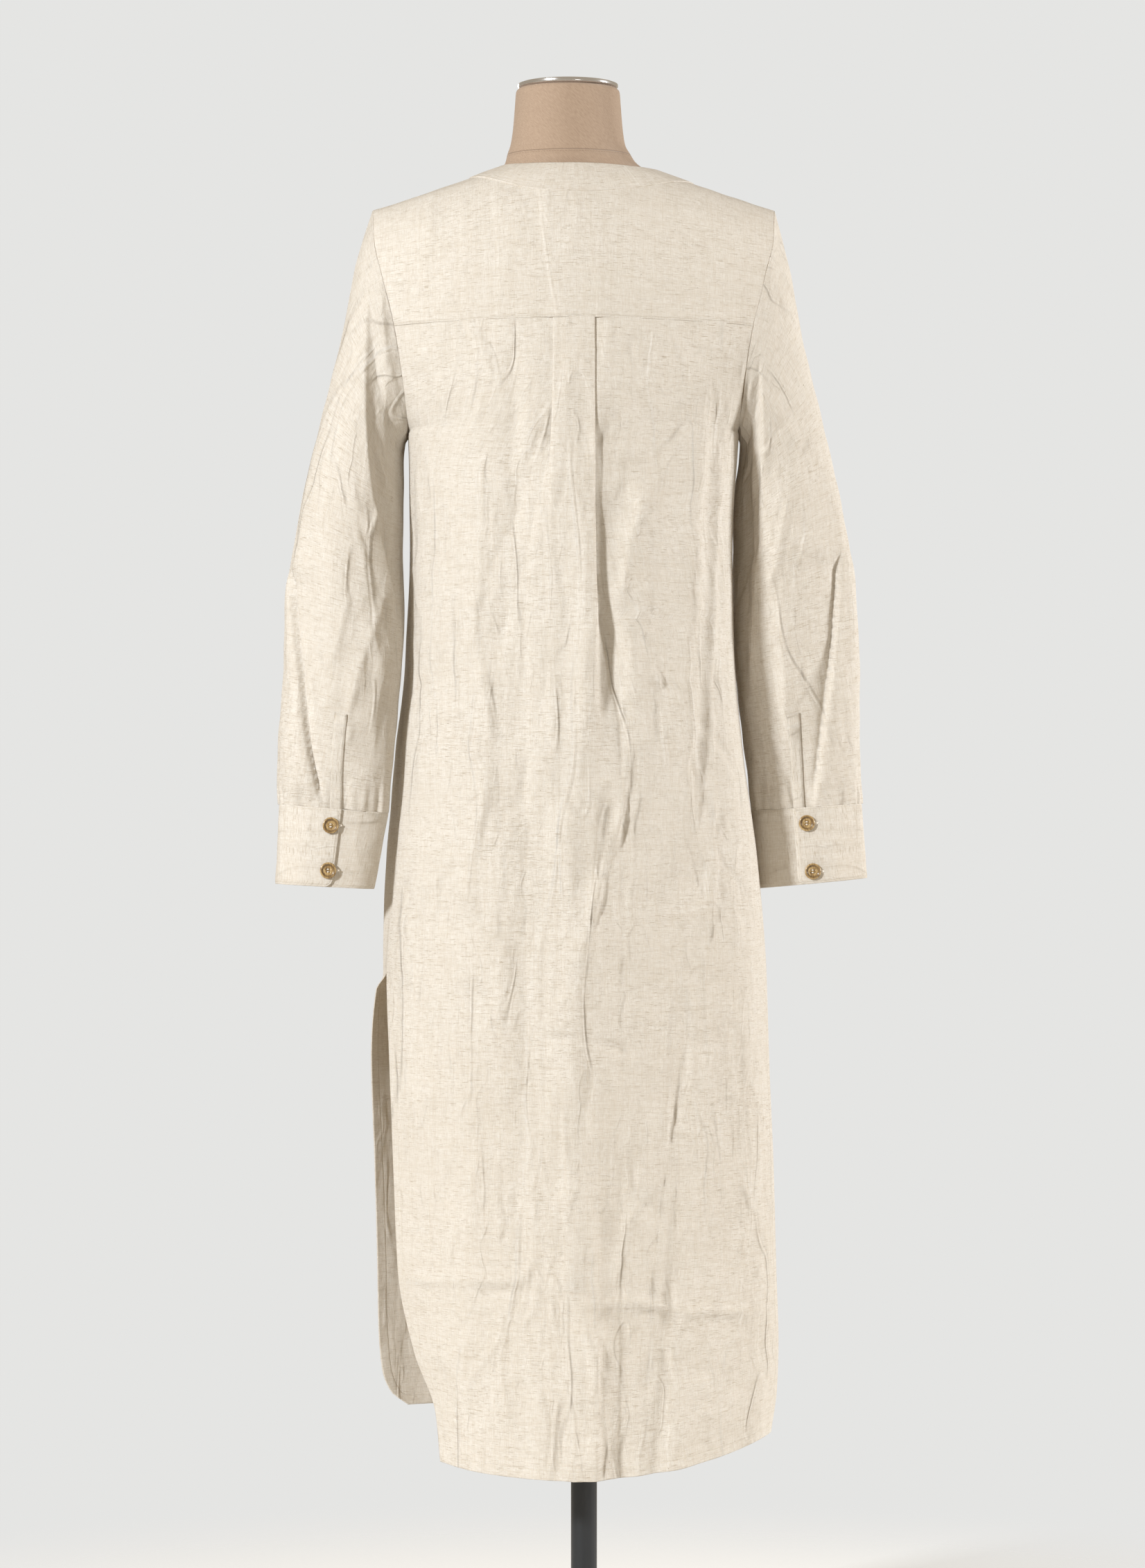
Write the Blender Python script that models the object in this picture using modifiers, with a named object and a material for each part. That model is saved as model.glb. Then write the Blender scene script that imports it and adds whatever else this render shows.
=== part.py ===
"""A long-sleeved maxi shirt dress on a padded dress form with a neck cap, a pole and a round base.

The dress faces +Y, its left sleeve lies towards -X, and the form's pole stands on the origin. Metres, +Z up.
The cloth is a wall round sections that run from the back hem over the shoulders to the front hem.
"""

import math

import bmesh
import bpy
import numpy as np
from mathutils import Vector

# Driving dimensions
CLOTH = 0.0011  # wall of the single cloth layer
BAND = 0.0020  # wall of the double, stitched neck band and cuffs
SEAM = 0.0004  # gap left between two pieces at a seam
SIDE_MARGIN = 0.0018  # share of a panel's half width left free at the side seam
CENTRE_X = -0.010  # the form sits a little to the left of its pole
YOKE_Z = 1.310  # back yoke seam
YOKE_FRONT_Z = 1.425  # front edge of the yoke, past the top of the shoulder
SLIT_Z = 0.690  # top of the two side slits
FLARE_Z = 0.672  # the panels have sprung apart here
ARMPIT_Z = 1.205
NECK_HALF = {-1: 0.070, 1: 0.0855}  # from the centre line to the neckline at the left and the right shoulder
BAND_WIDTH = 0.030  # stitched band round the neckline
NECK_BACK_Z = 1.4615
NECK_FRONT_Z = 1.345
PLEAT_X = 0.0003  # pleat centre, from the centre line
SHOULDER_HOLLOW = 0.31  # how much the shoulder line sags between the neck and its tip
FORM_GAP = 0.0014  # the form's shoulders under the yoke
CAP_Z = 1.5473
TORSO_FOOT_Z = 0.800
POLE_R = 0.0125
BASE_R = 0.180
BASE_THICK = 0.012
BUTTON_R = 0.0078
BUTTON_THICK = 0.0028

# Upper sections, the same on both sides: centre height and depth, then edge height, reach, depth and turn in degrees
UPPER_COLUMNS = ("z", "y", "z_edge", "reach", "y_edge", "turn")
UPPER_BACK = (
    (1.205, -0.106, 1.205, 0.1580, 0.012, 95),
    (1.220, -0.106, 1.213, 0.1585, -0.012, 80),
    (1.255, -0.105, 1.242, 0.1610, -0.036, 68),
    (1.311, -0.101, 1.3075, 0.1708, -0.050, 58),
    (1.365, -0.093, 1.352, 0.1815, -0.047, 52),
    (1.408, -0.080, 1.388, 0.1900, -0.034, 50),
    (1.442, -0.060, 1.410, 0.1915, -0.017, 50),
    (1.468, -0.034, 1.4195, 0.1925, -0.001, 50),
)
SHOULDER_LINE = (1.4900, 0.018, 1.4225, 0.1930, 0.014, 50)
UPPER_FRONT = (
    (1.464, 0.068, 1.4185, 0.1925, 0.029, 50),
    (1.425, 0.092, 1.405, 0.1900, 0.046, 50),
    (1.370, 0.110, 1.365, 0.1800, 0.062, 52),
    (1.300, 0.126, 1.300, 0.1660, 0.066, 60),
    (1.252, 0.133, 1.242, 0.1600, 0.053, 72),
    (1.220, 0.135, 1.213, 0.1585, 0.034, 80),
    (1.205, 0.136, 1.205, 0.1580, 0.012, 92),
)

# Lower sections, from the armpit down: height, centre depth, then reach, depth, turn and height of each edge
LOWER_COLUMNS = ("z", "y", "left", "y_left", "turn_left", "z_left", "right", "y_right", "turn_right", "z_right")
LOWER_BACK = (
    (1.100, -0.106, 0.1570, 0.012, 92, 1.100, 0.1525, 0.012, 92, 1.100),
    (1.000, -0.105, 0.1610, 0.008, 86, 1.000, 0.1545, 0.012, 88, 1.000),
    (0.900, -0.106, 0.1640, -0.018, 73, 0.900, 0.1630, 0.012, 88, 0.900),
    (0.800, -0.108, 0.1690, -0.022, 70, 0.800, 0.1765, 0.012, 88, 0.800),
    (0.700, -0.108, 0.1785, -0.012, 76, 0.700, 0.1850, 0.012, 87, 0.700),
    (0.690, -0.108, 0.1790, -0.012, 76, 0.690, 0.1855, 0.012, 86, 0.690),
    (0.600, -0.108, 0.1755, -0.030, 66, 0.600, 0.1880, 0.004, 82, 0.600),
    (0.500, -0.108, 0.1715, -0.036, 64, 0.500, 0.1920, 0.000, 80, 0.500),
    (0.400, -0.108, 0.1670, -0.038, 62, 0.403, 0.1945, -0.002, 80, 0.402),
    (0.325, -0.107, 0.1520, -0.042, 60, 0.330, 0.1965, -0.003, 80, 0.335),
    (0.265, -0.105, 0.1310, -0.050, 58, 0.272, 0.1950, -0.005, 80, 0.290),
    (0.2147, -0.103, 0.1265, -0.052, 56, 0.226, 0.1890, -0.010, 78, 0.248),
)
LOWER_FRONT = (
    (1.100, 0.130, 0.1570, 0.012, 92, 1.100, 0.1525, 0.012, 92, 1.100),
    (1.000, 0.122, 0.1610, 0.008, 94, 1.000, 0.1545, 0.012, 92, 1.000),
    (0.900, 0.119, 0.1640, -0.018, 107, 0.900, 0.1630, 0.012, 92, 0.900),
    (0.800, 0.119, 0.1690, -0.022, 110, 0.800, 0.1765, 0.012, 92, 0.800),
    (0.700, 0.119, 0.1785, -0.012, 103, 0.700, 0.1850, 0.012, 92, 0.700),
    (0.690, 0.119, 0.1790, -0.012, 102, 0.690, 0.1855, 0.012, 91, 0.690),
    (0.672, 0.119, 0.1900, 0.010, 82, 0.672, 0.1850, 0.018, 86, 0.672),
    (0.600, 0.119, 0.1962, 0.040, 62, 0.600, 0.1820, 0.026, 80, 0.600),
    (0.500, 0.119, 0.1935, 0.056, 56, 0.500, 0.1810, 0.030, 78, 0.500),
    (0.400, 0.118, 0.1912, 0.064, 52, 0.400, 0.1800, 0.032, 76, 0.400),
    (0.345, 0.117, 0.1903, 0.066, 50, 0.345, 0.1790, 0.032, 76, 0.347),
    (0.300, 0.116, 0.1868, 0.068, 50, 0.299, 0.1760, 0.033, 74, 0.304),
    (0.278, 0.116, 0.1782, 0.069, 50, 0.277, 0.1690, 0.035, 72, 0.283),
    (0.262, 0.115, 0.1615, 0.070, 50, 0.264, 0.1550, 0.038, 70, 0.270),
)

# Soft folds in the body: top x and z, foot x and z from the centre line, half width, height outwards
FOLD_COLUMNS = ("x_top", "z_top", "x_foot", "z_foot", "width", "out")
BACK_FOLDS = (
    (0.010, 1.180, 0.012, 0.860, 0.012, 0.0040),
    (0.034, 1.230, 0.036, 0.880, 0.016, -0.0065),
    (0.118, 1.300, 0.096, 0.760, 0.014, 0.0040),
    (0.139, 1.300, 0.117, 0.760, 0.009, -0.0045),
    (0.117, 0.760, 0.076, 0.215, 0.009, -0.0065),
    (0.138, 0.760, 0.098, 0.215, 0.014, 0.0045),
    (-0.060, 1.250, -0.062, 0.780, 0.020, -0.0040),
    (-0.036, 0.900, -0.040, 0.500, 0.024, -0.0040),
    (0.062, 1.180, 0.060, 0.820, 0.012, 0.0035),
    (0.030, 0.560, 0.044, 0.205, 0.014, -0.0070),
    (0.014, 0.560, 0.018, 0.205, 0.016, 0.0055),
    (-0.105, 0.620, -0.100, 0.205, 0.020, 0.0030),
)
FRONT_FOLDS = (
    (-0.070, 1.180, -0.100, 0.260, 0.020, 0.0065),
    (-0.030, 1.100, -0.046, 0.260, 0.018, -0.0060),
    (0.020, 1.150, 0.024, 0.260, 0.022, 0.0060),
    (0.070, 1.120, 0.078, 0.260, 0.018, -0.0055),
    (0.105, 1.180, 0.126, 0.260, 0.020, 0.0055),
)

# Half of the box pleat, from the panel in to the centre: distance and level when sewn shut, then when hanging open
PLEAT_COLUMNS = ("x_shut", "level_shut", "x_open", "level_open")
PLEAT = (
    (0.0300, 0.0000, 0.064, 0.0000),
    (0.0210, -0.0012, 0.054, -0.0018),
    (0.0060, -0.0016, 0.046, -0.0036),
    (0.0044, -0.0008, 0.042, -0.0018),
    (0.0060, 0.0000, 0.038, -0.0006),
    (0.0178, 0.0000, 0.028, 0.0006),
    (0.0194, 0.0008, 0.024, 0.0018),
    (0.0178, 0.0016, 0.020, 0.0036),
    (0.0090, 0.0017, 0.010, 0.0040),
)
PLEAT_LOFT = 1.4  # how far the layers stand apart where the pleat begins to open
PLEAT_TOP_Z = 1.285  # shut above this height
PLEAT_FOOT_Z = {"left": 1.060, "right": 0.900}  # open below this height

# Sleeve sections: height and reach of the outer edge, of the inner edge, centre depth and half depth
SLEEVE_COLUMNS = ("z_out", "out", "z_in", "in", "y", "half_depth")
SLEEVE = {
    "left": (
        (1.372, 0.2085, 1.196, 0.1625, 0.006, 0.056),
        (1.300, 0.2225, 1.180, 0.1635, 0.002, 0.053),
        (1.218, 0.2425, 1.150, 0.1635, -0.003, 0.050),
        (1.130, 0.2625, 1.090, 0.1640, -0.010, 0.048),
        (1.060, 0.2725, 1.030, 0.1622, -0.018, 0.046),
        (0.970, 0.2765, 0.945, 0.1680, -0.025, 0.041),
        (0.895, 0.2825, 0.880, 0.1735, -0.030, 0.034),
        (0.8505, 0.2805, 0.8425, 0.1775, -0.031, 0.0245),
    ),
    "right": (
        (1.372, 0.2065, 1.196, 0.1610, 0.014, 0.056),
        (1.300, 0.2205, 1.180, 0.1600, 0.020, 0.053),
        (1.218, 0.2410, 1.150, 0.1560, 0.030, 0.050),
        (1.130, 0.2615, 1.090, 0.1545, 0.038, 0.049),
        (1.060, 0.2725, 1.030, 0.1545, 0.042, 0.047),
        (0.970, 0.2775, 0.945, 0.1610, 0.044, 0.042),
        (0.895, 0.2775, 0.880, 0.1690, 0.043, 0.034),
        (0.8510, 0.2785, 0.8440, 0.1725, 0.040, 0.0255),
    ),
}
# The deep tuck that runs down into the cuff: place round the sleeve at its top and foot, and its top height
TUCK_COLUMNS = ("u_top", "u_foot", "z_top")
TUCK = {"left": (0.020, 0.214, 1.080), "right": (0.085, 0.228, 1.100)}
TUCK_DEPTH = 0.0050
# Where the upper sleeve turns in towards the body: place round it at the top and foot of the fold, and depth
TURN_IN_COLUMNS = ("u_top", "u_foot", "depth")
TURN_IN = {"left": (0.160, 0.420, 0.0110), "right": (0.280, 0.360, 0.0075)}
TURN_IN_Z = (1.30, 1.06)
GATHERS = 9
GATHER_DEPTH = 0.0013
GATHER_RISE = 0.050
# Sleeve slit: height of its top, width of its binding
PLACKET_Z = 0.936
PLACKET_WIDTH = 0.011

# Cuffs: height and reach of the outer and inner edge at top and foot, depth, half depth
CUFF_COLUMNS = ("z_out", "out", "z_in", "in", "y", "half_depth")
CUFF = {
    "left": ((0.8500, 0.2802, 0.8420, 0.1777, -0.031, 0.0246), (0.775, 0.2837, 0.770, 0.1910, -0.032, 0.0262)),
    "right": ((0.8505, 0.2786, 0.8435, 0.1724, 0.040, 0.0256), (0.779, 0.2840, 0.769, 0.1777, 0.041, 0.0272)),
}
CUFF_LAP = {"left": 0.277, "right": 0.291}  # where the top layer's free edge lies round the cuff
CUFF_UNDER = 0.105  # how far the under layer runs on below it
LAP_LEVEL = 0.0013
# Button places: round the cuff and down it, from 0 at its top to 1 at its foot
BUTTONS = {
    "left": {"upper": (0.251, 0.21), "lower": (0.259, 0.79)},
    "right": {"upper": (0.255, 0.20), "lower": (0.248, 0.84)},
}

# Dress form sections: height, centre x and y, half width, depth forwards and backwards from the centre
FORM_COLUMNS = ("z", "x", "y", "half", "front", "back")
FORM = (
    (0.8000, -0.010, 0.006, 0.1440, 0.086, 0.082),
    (0.8120, -0.010, 0.006, 0.1540, 0.092, 0.088),
    (0.8700, -0.010, 0.006, 0.1560, 0.096, 0.092),
    (0.9400, -0.010, 0.006, 0.1480, 0.094, 0.090),
    (1.0300, -0.010, 0.008, 0.1160, 0.078, 0.076),
    (1.1000, -0.010, 0.010, 0.1240, 0.088, 0.082),
    (1.1900, -0.010, 0.012, 0.1400, 0.110, 0.096),
    (1.2700, -0.010, 0.012, 0.1440, 0.104, 0.098),
    (1.3300, -0.010, 0.012, 0.1560, 0.084, 0.092),
    (1.3750, -0.010, 0.012, 0.1680, 0.066, 0.076),
    (1.4050, -0.010, 0.013, 0.1760, 0.050, 0.056),
)
# Top of the form: how far each section's edge lies from the centre on the shoulder line, and its depths
FORM_TOP_COLUMNS = ("half", "x", "y", "front", "back")
FORM_TOP = (
    (0.1800, -0.010, 0.014, 0.036, 0.040),
    (0.1600, -0.010, 0.014, 0.040, 0.044),
    (0.1350, -0.010, 0.015, 0.046, 0.048),
    (0.1100, -0.010, 0.016, 0.050, 0.052),
    (0.0880, -0.010, 0.017, 0.052, 0.053),
    (0.0705, -0.010, 0.018, 0.052, 0.053),
)
NECK = (
    (1.4700, -0.0130, 0.018, 0.0628, 0.053, 0.053),
    (1.4780, -0.0145, 0.020, 0.0594, 0.052, 0.051),
    (1.4870, -0.0155, 0.021, 0.0555, 0.052, 0.050),
    (1.5030, -0.0155, 0.022, 0.0530, 0.051, 0.049),
    (1.5250, -0.0155, 0.023, 0.0512, 0.050, 0.049),
    (1.5385, -0.0155, 0.023, 0.0500, 0.049, 0.048),
    (1.5415, -0.0155, 0.023, 0.0478, 0.047, 0.046),
)

# Grid counts
BACK_SIDE_COLUMNS = 11
BACK_ROWS_ABOVE = 6
FRONT_COLUMNS_BESIDE = 5
FRONT_ROWS_ABOVE = 5
SIDE_ROWS = 8
YOKE_BACK_COLUMNS = 10
YOKE_ARM_COLUMNS = 12
YOKE_ROWS = 5
BAND_COLUMNS = 44
SLEEVE_COLUMNS_ROUND = 28
SLEEVE_ROWS = 15
CUFF_COLUMNS_ROUND = 30
CUFF_ROWS = 3
FORM_COLUMNS_ROUND = 28

LINEN = ("linen", (0.80, 0.74, 0.64), 0.85, 0.0)
JERSEY = ("form_cover", (0.52, 0.38, 0.28), 0.80, 0.0)
HORN = ("horn_button", (0.42, 0.27, 0.12), 0.30, 0.0)
CHROME = ("chrome_cap", (0.70, 0.70, 0.72), 0.12, 1.0)
BLACK_PAINT = ("black_paint", (0.012, 0.014, 0.016), 0.40, 0.3)


def clear_scene():
    for thing in list(bpy.data.objects):
        bpy.data.objects.remove(thing)
    parts = bpy.data.collections.new("maxi_dress_on_form")
    cutters = bpy.data.collections.new("cutters")
    bpy.context.scene.collection.children.link(parts)
    bpy.context.scene.collection.children.link(cutters)
    cutters.hide_render = True
    return parts, cutters


PARTS, CUTTERS = clear_scene()


def material(finish):
    """The Principled material of a finish: its name, colour, roughness and metallic value."""
    name, colour, roughness, metallic = finish
    made = bpy.data.materials.get(name)
    if made is None:
        made = bpy.data.materials.new(name)
        made.use_nodes = True
        shader = made.node_tree.nodes["Principled BSDF"]
        shader.inputs["Base Color"].default_value = (*colour, 1.0)
        shader.inputs["Roughness"].default_value = roughness
        shader.inputs["Metallic"].default_value = metallic
    return made


def mesh_object(name, points, faces, finish):
    mesh = bpy.data.meshes.new(name)
    mesh.from_pydata([tuple(p) for p in points], [], faces)
    mesh.materials.append(material(finish))
    mesh.shade_smooth()
    made = bpy.data.objects.new(name, mesh)
    PARTS.objects.link(made)
    return made


def smooth(knots, values, at):
    """Monotone cubic curve through the values, so that a table's rows join without overshoot."""
    knots = np.asarray(knots, float)
    values = np.asarray(values, float).reshape(len(knots), -1)
    step = np.diff(knots)[:, None]
    rise = np.diff(values, axis=0) / step
    slope = np.vstack([rise[:1], np.zeros_like(rise[1:]), rise[-1:]])
    before, after = rise[:-1], rise[1:]
    same = before * after > 0
    near, far = 2 * step[1:] + step[:-1], step[1:] + 2 * step[:-1]
    mean = (near + far) / (near / np.where(same, before, 1) + far / np.where(same, after, 1))
    slope[1:-1] = np.where(same, mean, 0)
    at = np.clip(np.asarray(at, float), knots[0], knots[-1])
    i = np.clip(np.searchsorted(knots, at, side="right") - 1, 0, len(knots) - 2)
    w = (knots[i + 1] - knots[i])[..., None]
    t = ((at - knots[i])[..., None]) / w
    low, high = values[i], values[i + 1]
    return (
        (2 * t**3 - 3 * t**2 + 1) * low
        + (t**3 - 2 * t**2 + t) * w * slope[i]
        + (3 * t**2 - 2 * t**3) * high
        + (t**3 - t**2) * w * slope[i + 1]
    )


def step(at, start, end):
    """0 at start, 1 at end, easing in and out."""
    t = np.clip((np.asarray(at, float) - start) / (end - start), 0, 1)
    return t * t * (3 - 2 * t)


def both_edges(row):
    """An upper section's row in the lower table's columns."""
    z, y, z_edge, reach, y_edge, turn = row
    return (z, y, reach, y_edge, turn, z_edge, reach, y_edge, turn, z_edge)


def body_table():
    """All sections from the back hem to the front hem, with their distance along the cloth from the shoulder line."""
    rows = list(reversed(LOWER_BACK))
    rows += [both_edges(r) for r in (*UPPER_BACK, SHOULDER_LINE, *UPPER_FRONT)]
    rows += list(LOWER_FRONT)
    rows = np.array(rows, float)
    ridge = len(LOWER_BACK) + len(UPPER_BACK)
    centre = np.linalg.norm(np.diff(rows[:, :2], axis=0), axis=1)
    edge = np.linalg.norm(np.diff(rows[:, [2, 3, 5]], axis=0), axis=1)
    below = np.maximum(rows[1:, 0], rows[:-1, 0]) < ARMPIT_Z + 1e-6
    knots = np.append(0, np.cumsum(np.where(below, np.abs(np.diff(rows[:, 0])), (centre + edge) / 2)))
    return knots - knots[ridge], rows


KNOTS, SECTIONS = body_table()


def place_of(z, side):
    """Distance along the cloth where its centre line stands at this height, side -1 at the back and +1 in front."""
    chosen = KNOTS * side >= 0
    knots, heights = KNOTS[chosen], SECTIONS[chosen, 0]
    fine = np.linspace(knots[0], knots[-1], 4000)
    level = smooth(KNOTS, SECTIONS[:, :1], fine)[:, 0]
    return float(fine[np.argmin(np.abs(level - z))])


def slope_shape(share, g):
    """How a section falls from its centre to its edge: level at the centre line, and hollow on the shoulder line."""
    even = (np.sqrt(share**2 + 0.0625) - 0.25) / (math.sqrt(1.0625) - 0.25)
    return even ** (1 - SHOULDER_HOLLOW * np.exp(-((g / 0.035) ** 2)))


def body(s, g):
    """Point of the body's surface: s runs from the left edge at -1 to the right edge at 1, g along the cloth."""
    s, g = np.broadcast_arrays(np.asarray(s, float), np.asarray(g, float))
    row = smooth(KNOTS, SECTIONS, g)
    z, y = row[..., 0], row[..., 1]
    left = s < 0
    reach, y_edge, turn, z_edge = (np.where(left, row[..., 2 + k], row[..., 6 + k]) for k in range(4))
    turn = np.radians(turn)
    angle = np.abs(s) * turn
    share = np.sin(angle) / np.sin(turn)
    x = CENTRE_X + np.sign(s) * reach * share
    depth = y_edge + (y - y_edge) * (np.cos(angle) - np.cos(turn)) / (1 - np.cos(turn))
    fall = np.where(z < 0.6, share**2, slope_shape(share, g))
    height = z + (z_edge - z) * fall
    return np.stack([x, depth, height], axis=-1)


def across(x, g):
    """The s of a point at distance x from the centre line, x within the section's reach."""
    x, g = np.broadcast_arrays(np.asarray(x, float), np.asarray(g, float))
    row = smooth(KNOTS, SECTIONS, g)
    reach = np.where(x < 0, row[..., 2], row[..., 6])
    turn = np.radians(np.where(x < 0, row[..., 4], row[..., 8]))
    return np.sign(x) * np.arcsin(np.clip(np.abs(x) / reach * np.sin(turn), 0, 1)) / turn


def outwards(s, g):
    """Unit direction out of the body, from the surface's own slopes."""
    d = 1e-4
    along = body(s, g + d) - body(s, g - d)
    over = body(np.minimum(s + d, 1), g) - body(np.maximum(s - d, -1), g)
    n = np.cross(over, along)
    return n / np.linalg.norm(n, axis=-1, keepdims=True)


def fold_height(points, folds):
    """Sum of the soft folds at these points: each a ridge or trough of bell shape that fades at both ends."""
    x, z = points[..., 0] - CENTRE_X, points[..., 2]
    total = np.zeros(x.shape)
    for x_top, z_top, x_foot, z_foot, width, out in folds:
        share = (z_top - z) / (z_top - z_foot)
        line = x_top + (x_foot - x_top) * np.clip(share, 0, 1)
        fade = step(share, -0.02, 0.22)
        open_foot = z_foot < 0.3
        fade = fade * (1 if open_foot else 1 - step(share, 0.78, 1.02))
        total += out * np.exp(-(((x - line) / width) ** 2)) * fade
    return total


def grid_faces(rows, columns, closed=False):
    """Quads of a grid of points, row by row."""
    faces = []
    for r in range(rows - 1):
        for c in range(columns if closed else columns - 1):
            d = (c + 1) % columns
            faces.append((r * columns + c, r * columns + d, (r + 1) * columns + d, (r + 1) * columns + c))
    return faces


def cloth(name, grid, thickness=CLOTH, closed=False, flip=False, finish=LINEN):
    """A wall of cloth round a grid of points on its middle layer."""
    rows, columns = grid.shape[:2]
    faces = grid_faces(rows, columns, closed)
    if flip:
        faces = [face[::-1] for face in faces]
    made = mesh_object(name, grid.reshape(-1, 3), faces, finish)
    wall = made.modifiers.new("wall", "SOLIDIFY")
    wall.thickness = thickness
    wall.offset = 0
    wall.use_even_offset = True
    wall.use_quality_normals = True
    return made


def lower_rows(side):
    """Rows below the armpit: at the same heights on both panels down to the slits, then on to the hem."""
    heights = np.linspace(ARMPIT_Z, SLIT_Z, SIDE_ROWS + 1)
    hem = KNOTS[0] if side < 0 else KNOTS[-1]
    parted = place_of(FLARE_Z, side)
    joined = np.array([place_of(z, side) for z in heights])
    down = 1 - (1 - np.linspace(0, 1, SIDE_ROWS)) ** 1.5
    return np.append(joined, parted + (hem - parted) * down)


def back_panel():
    """The back below the yoke, with the box pleat sewn shut at its top and two slit edges below."""
    top = place_of(YOKE_Z, -1) - SEAM
    above = np.linspace(top, place_of(ARMPIT_Z, -1), BACK_ROWS_ABOVE)[:-1]
    g = np.concatenate([above, lower_rows(-1)])[::-1]
    height = body(0, g)[:, 2]
    columns = []
    for side, name in ((-1, "left"), (1, "right")):
        shut = 1 - step(height, PLEAT_FOOT_Z[name], PLEAT_TOP_Z)
        half = []
        for x_shut, level_shut, x_open, level_open in PLEAT:
            x = PLEAT_X * (1 - shut) + side * (x_shut + (x_open - x_shut) * shut)
            apart = 1 + PLEAT_LOFT * 4 * shut * (1 - shut)
            half.append((across(x, g), (level_shut + (level_open - level_shut) * shut) * apart))
        inner = half[0][0]
        edge = np.full_like(g, side * (1 - SIDE_MARGIN))
        steps = np.linspace(0, 1, BACK_SIDE_COLUMNS + 1)[:-1]
        outer = [(edge + (inner - edge) * t, np.zeros_like(g)) for t in steps]
        columns.append(outer + half)
    middle = (across(np.full_like(g, PLEAT_X), g), np.interp(height, (0.9, 1.28), (0.0042, 0.0018)))
    every = columns[0] + [middle] + columns[1][::-1]
    s = np.stack([c[0] for c in every], axis=1)
    level = np.stack([c[1] for c in every], axis=1)
    along = np.repeat(g[:, None], s.shape[1], axis=1)
    points = body(s, along)
    out = outwards(s, along)
    relief = level + fold_height(points, BACK_FOLDS) * (1 - np.abs(s) ** 6)
    return cloth("back_panel", points + out * relief[..., None])


def neck_line(theta, grow, side):
    """Places (x, g) of one half of a line round the neck, theta 0 at the back centre and pi at the front centre.

    Side is -1 for the left half and 1 for the right one, and the line is grown outwards by the distance given."""
    theta = np.asarray(theta, float)
    back, front = place_of(NECK_BACK_Z, -1) - grow, place_of(NECK_FRONT_Z, 1) + grow
    across_neck = side * (NECK_HALF[side] + grow) * np.sin(theta)
    along = np.where(np.cos(theta) > 0, back, -front) * np.cos(theta)
    return across_neck, along


def band_angles(side):
    """Angles from the back centre to the front centre that divide half of the band evenly."""
    fine = np.linspace(0, math.pi, 800)
    x, g = neck_line(fine, BAND_WIDTH, side)
    length = np.append(0, np.cumsum(np.hypot(np.diff(x), np.diff(g))))
    return np.interp(np.linspace(0, length[-1], BAND_COLUMNS // 2 + 1), length, fine)


def neck_band():
    """The stitched band round the neckline, a closed ring of doubled cloth."""
    rows = []
    for grow in (0.0, BAND_WIDTH * 0.5, BAND_WIDTH - SEAM):
        right = neck_line(band_angles(1), grow, 1)
        left = neck_line(band_angles(-1)[-2:0:-1], grow, -1)
        x, g = np.concatenate([right[0], left[0]]), np.concatenate([right[1], left[1]])
        s = across(x, g)
        rows.append(body(s, g) + outwards(s, g) * (BAND - CLOTH) / 2)
    return cloth("neck_band", np.stack(rows), BAND, closed=True, flip=True)


def neck_corner(front_g, grow, side):
    """Angle at which the line round the neck meets the yoke's front edge."""
    _, depth = neck_line(math.pi, grow, side)
    return math.pi - math.acos(front_g / float(depth))


def yoke_half(side):
    """One half of the yoke: lines that fan out from the neck to the seam behind and to the armhole."""
    seam_g, front_g = place_of(YOKE_Z, -1) + SEAM / 2, place_of(YOKE_FRONT_Z, 1)
    corner = math.radians(52)
    back_theta = np.linspace(0, corner, YOKE_BACK_COLUMNS)[:-1]
    arm_theta = np.linspace(corner, neck_corner(front_g, BAND_WIDTH, side), YOKE_ARM_COLUMNS)
    inner_x, inner_g = neck_line(np.concatenate([back_theta, arm_theta]), BAND_WIDTH, side)
    inner_s = across(inner_x, inner_g)
    outer_s = np.concatenate([np.linspace(0, 1, YOKE_BACK_COLUMNS)[:-1], np.ones(YOKE_ARM_COLUMNS)]) * side
    outer_g = np.concatenate([np.full(YOKE_BACK_COLUMNS - 1, seam_g), np.linspace(seam_g, front_g, YOKE_ARM_COLUMNS)])
    t = np.linspace(0, 1, YOKE_ROWS + 1)[:, None]
    return inner_s + (outer_s - inner_s) * t, inner_g + (outer_g - inner_g) * t


def back_yoke():
    """The yoke: one layer from the back seam up over both shoulders to its front edges."""
    (left_s, left_g), (right_s, right_g) = yoke_half(-1), yoke_half(1)
    s = np.concatenate([left_s[:, :0:-1], right_s], axis=1)
    g = np.concatenate([left_g[:, :0:-1], right_g], axis=1)
    return cloth("back_yoke", body(s, g))


def front_half(side):
    """One half of the front: columns that hang from the neck band and from the yoke's front edge."""
    front_g, armpit = place_of(YOKE_FRONT_Z, 1) + SEAM, place_of(ARMPIT_Z, 1)
    corner = neck_corner(front_g, BAND_WIDTH + SEAM, side)
    ring = band_angles(side)[::-1]
    theta = np.append(ring[ring > corner + 0.05], corner)
    neck_x, neck_g = neck_line(theta, BAND_WIDTH + SEAM, side)
    neck_s = across(neck_x, neck_g)
    neck_s[0] = 0
    reach = side * (1 - SIDE_MARGIN)
    beside = np.linspace(neck_s[-1], reach, FRONT_COLUMNS_BESIDE + 1)[1:]
    top_s = np.concatenate([neck_s, beside])
    top_g = np.concatenate([neck_g, np.full(FRONT_COLUMNS_BESIDE, front_g)])
    even_s = np.linspace(0, reach, len(top_s))
    t = np.linspace(0, 1, FRONT_ROWS_ABOVE)[:-1, None]
    below = lower_rows(1)[:, None]
    s = np.concatenate([top_s + (even_s - top_s) * t, even_s + 0 * below])
    g = np.concatenate([top_g + (armpit - top_g) * t, below + 0 * top_g])
    return s, g


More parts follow.
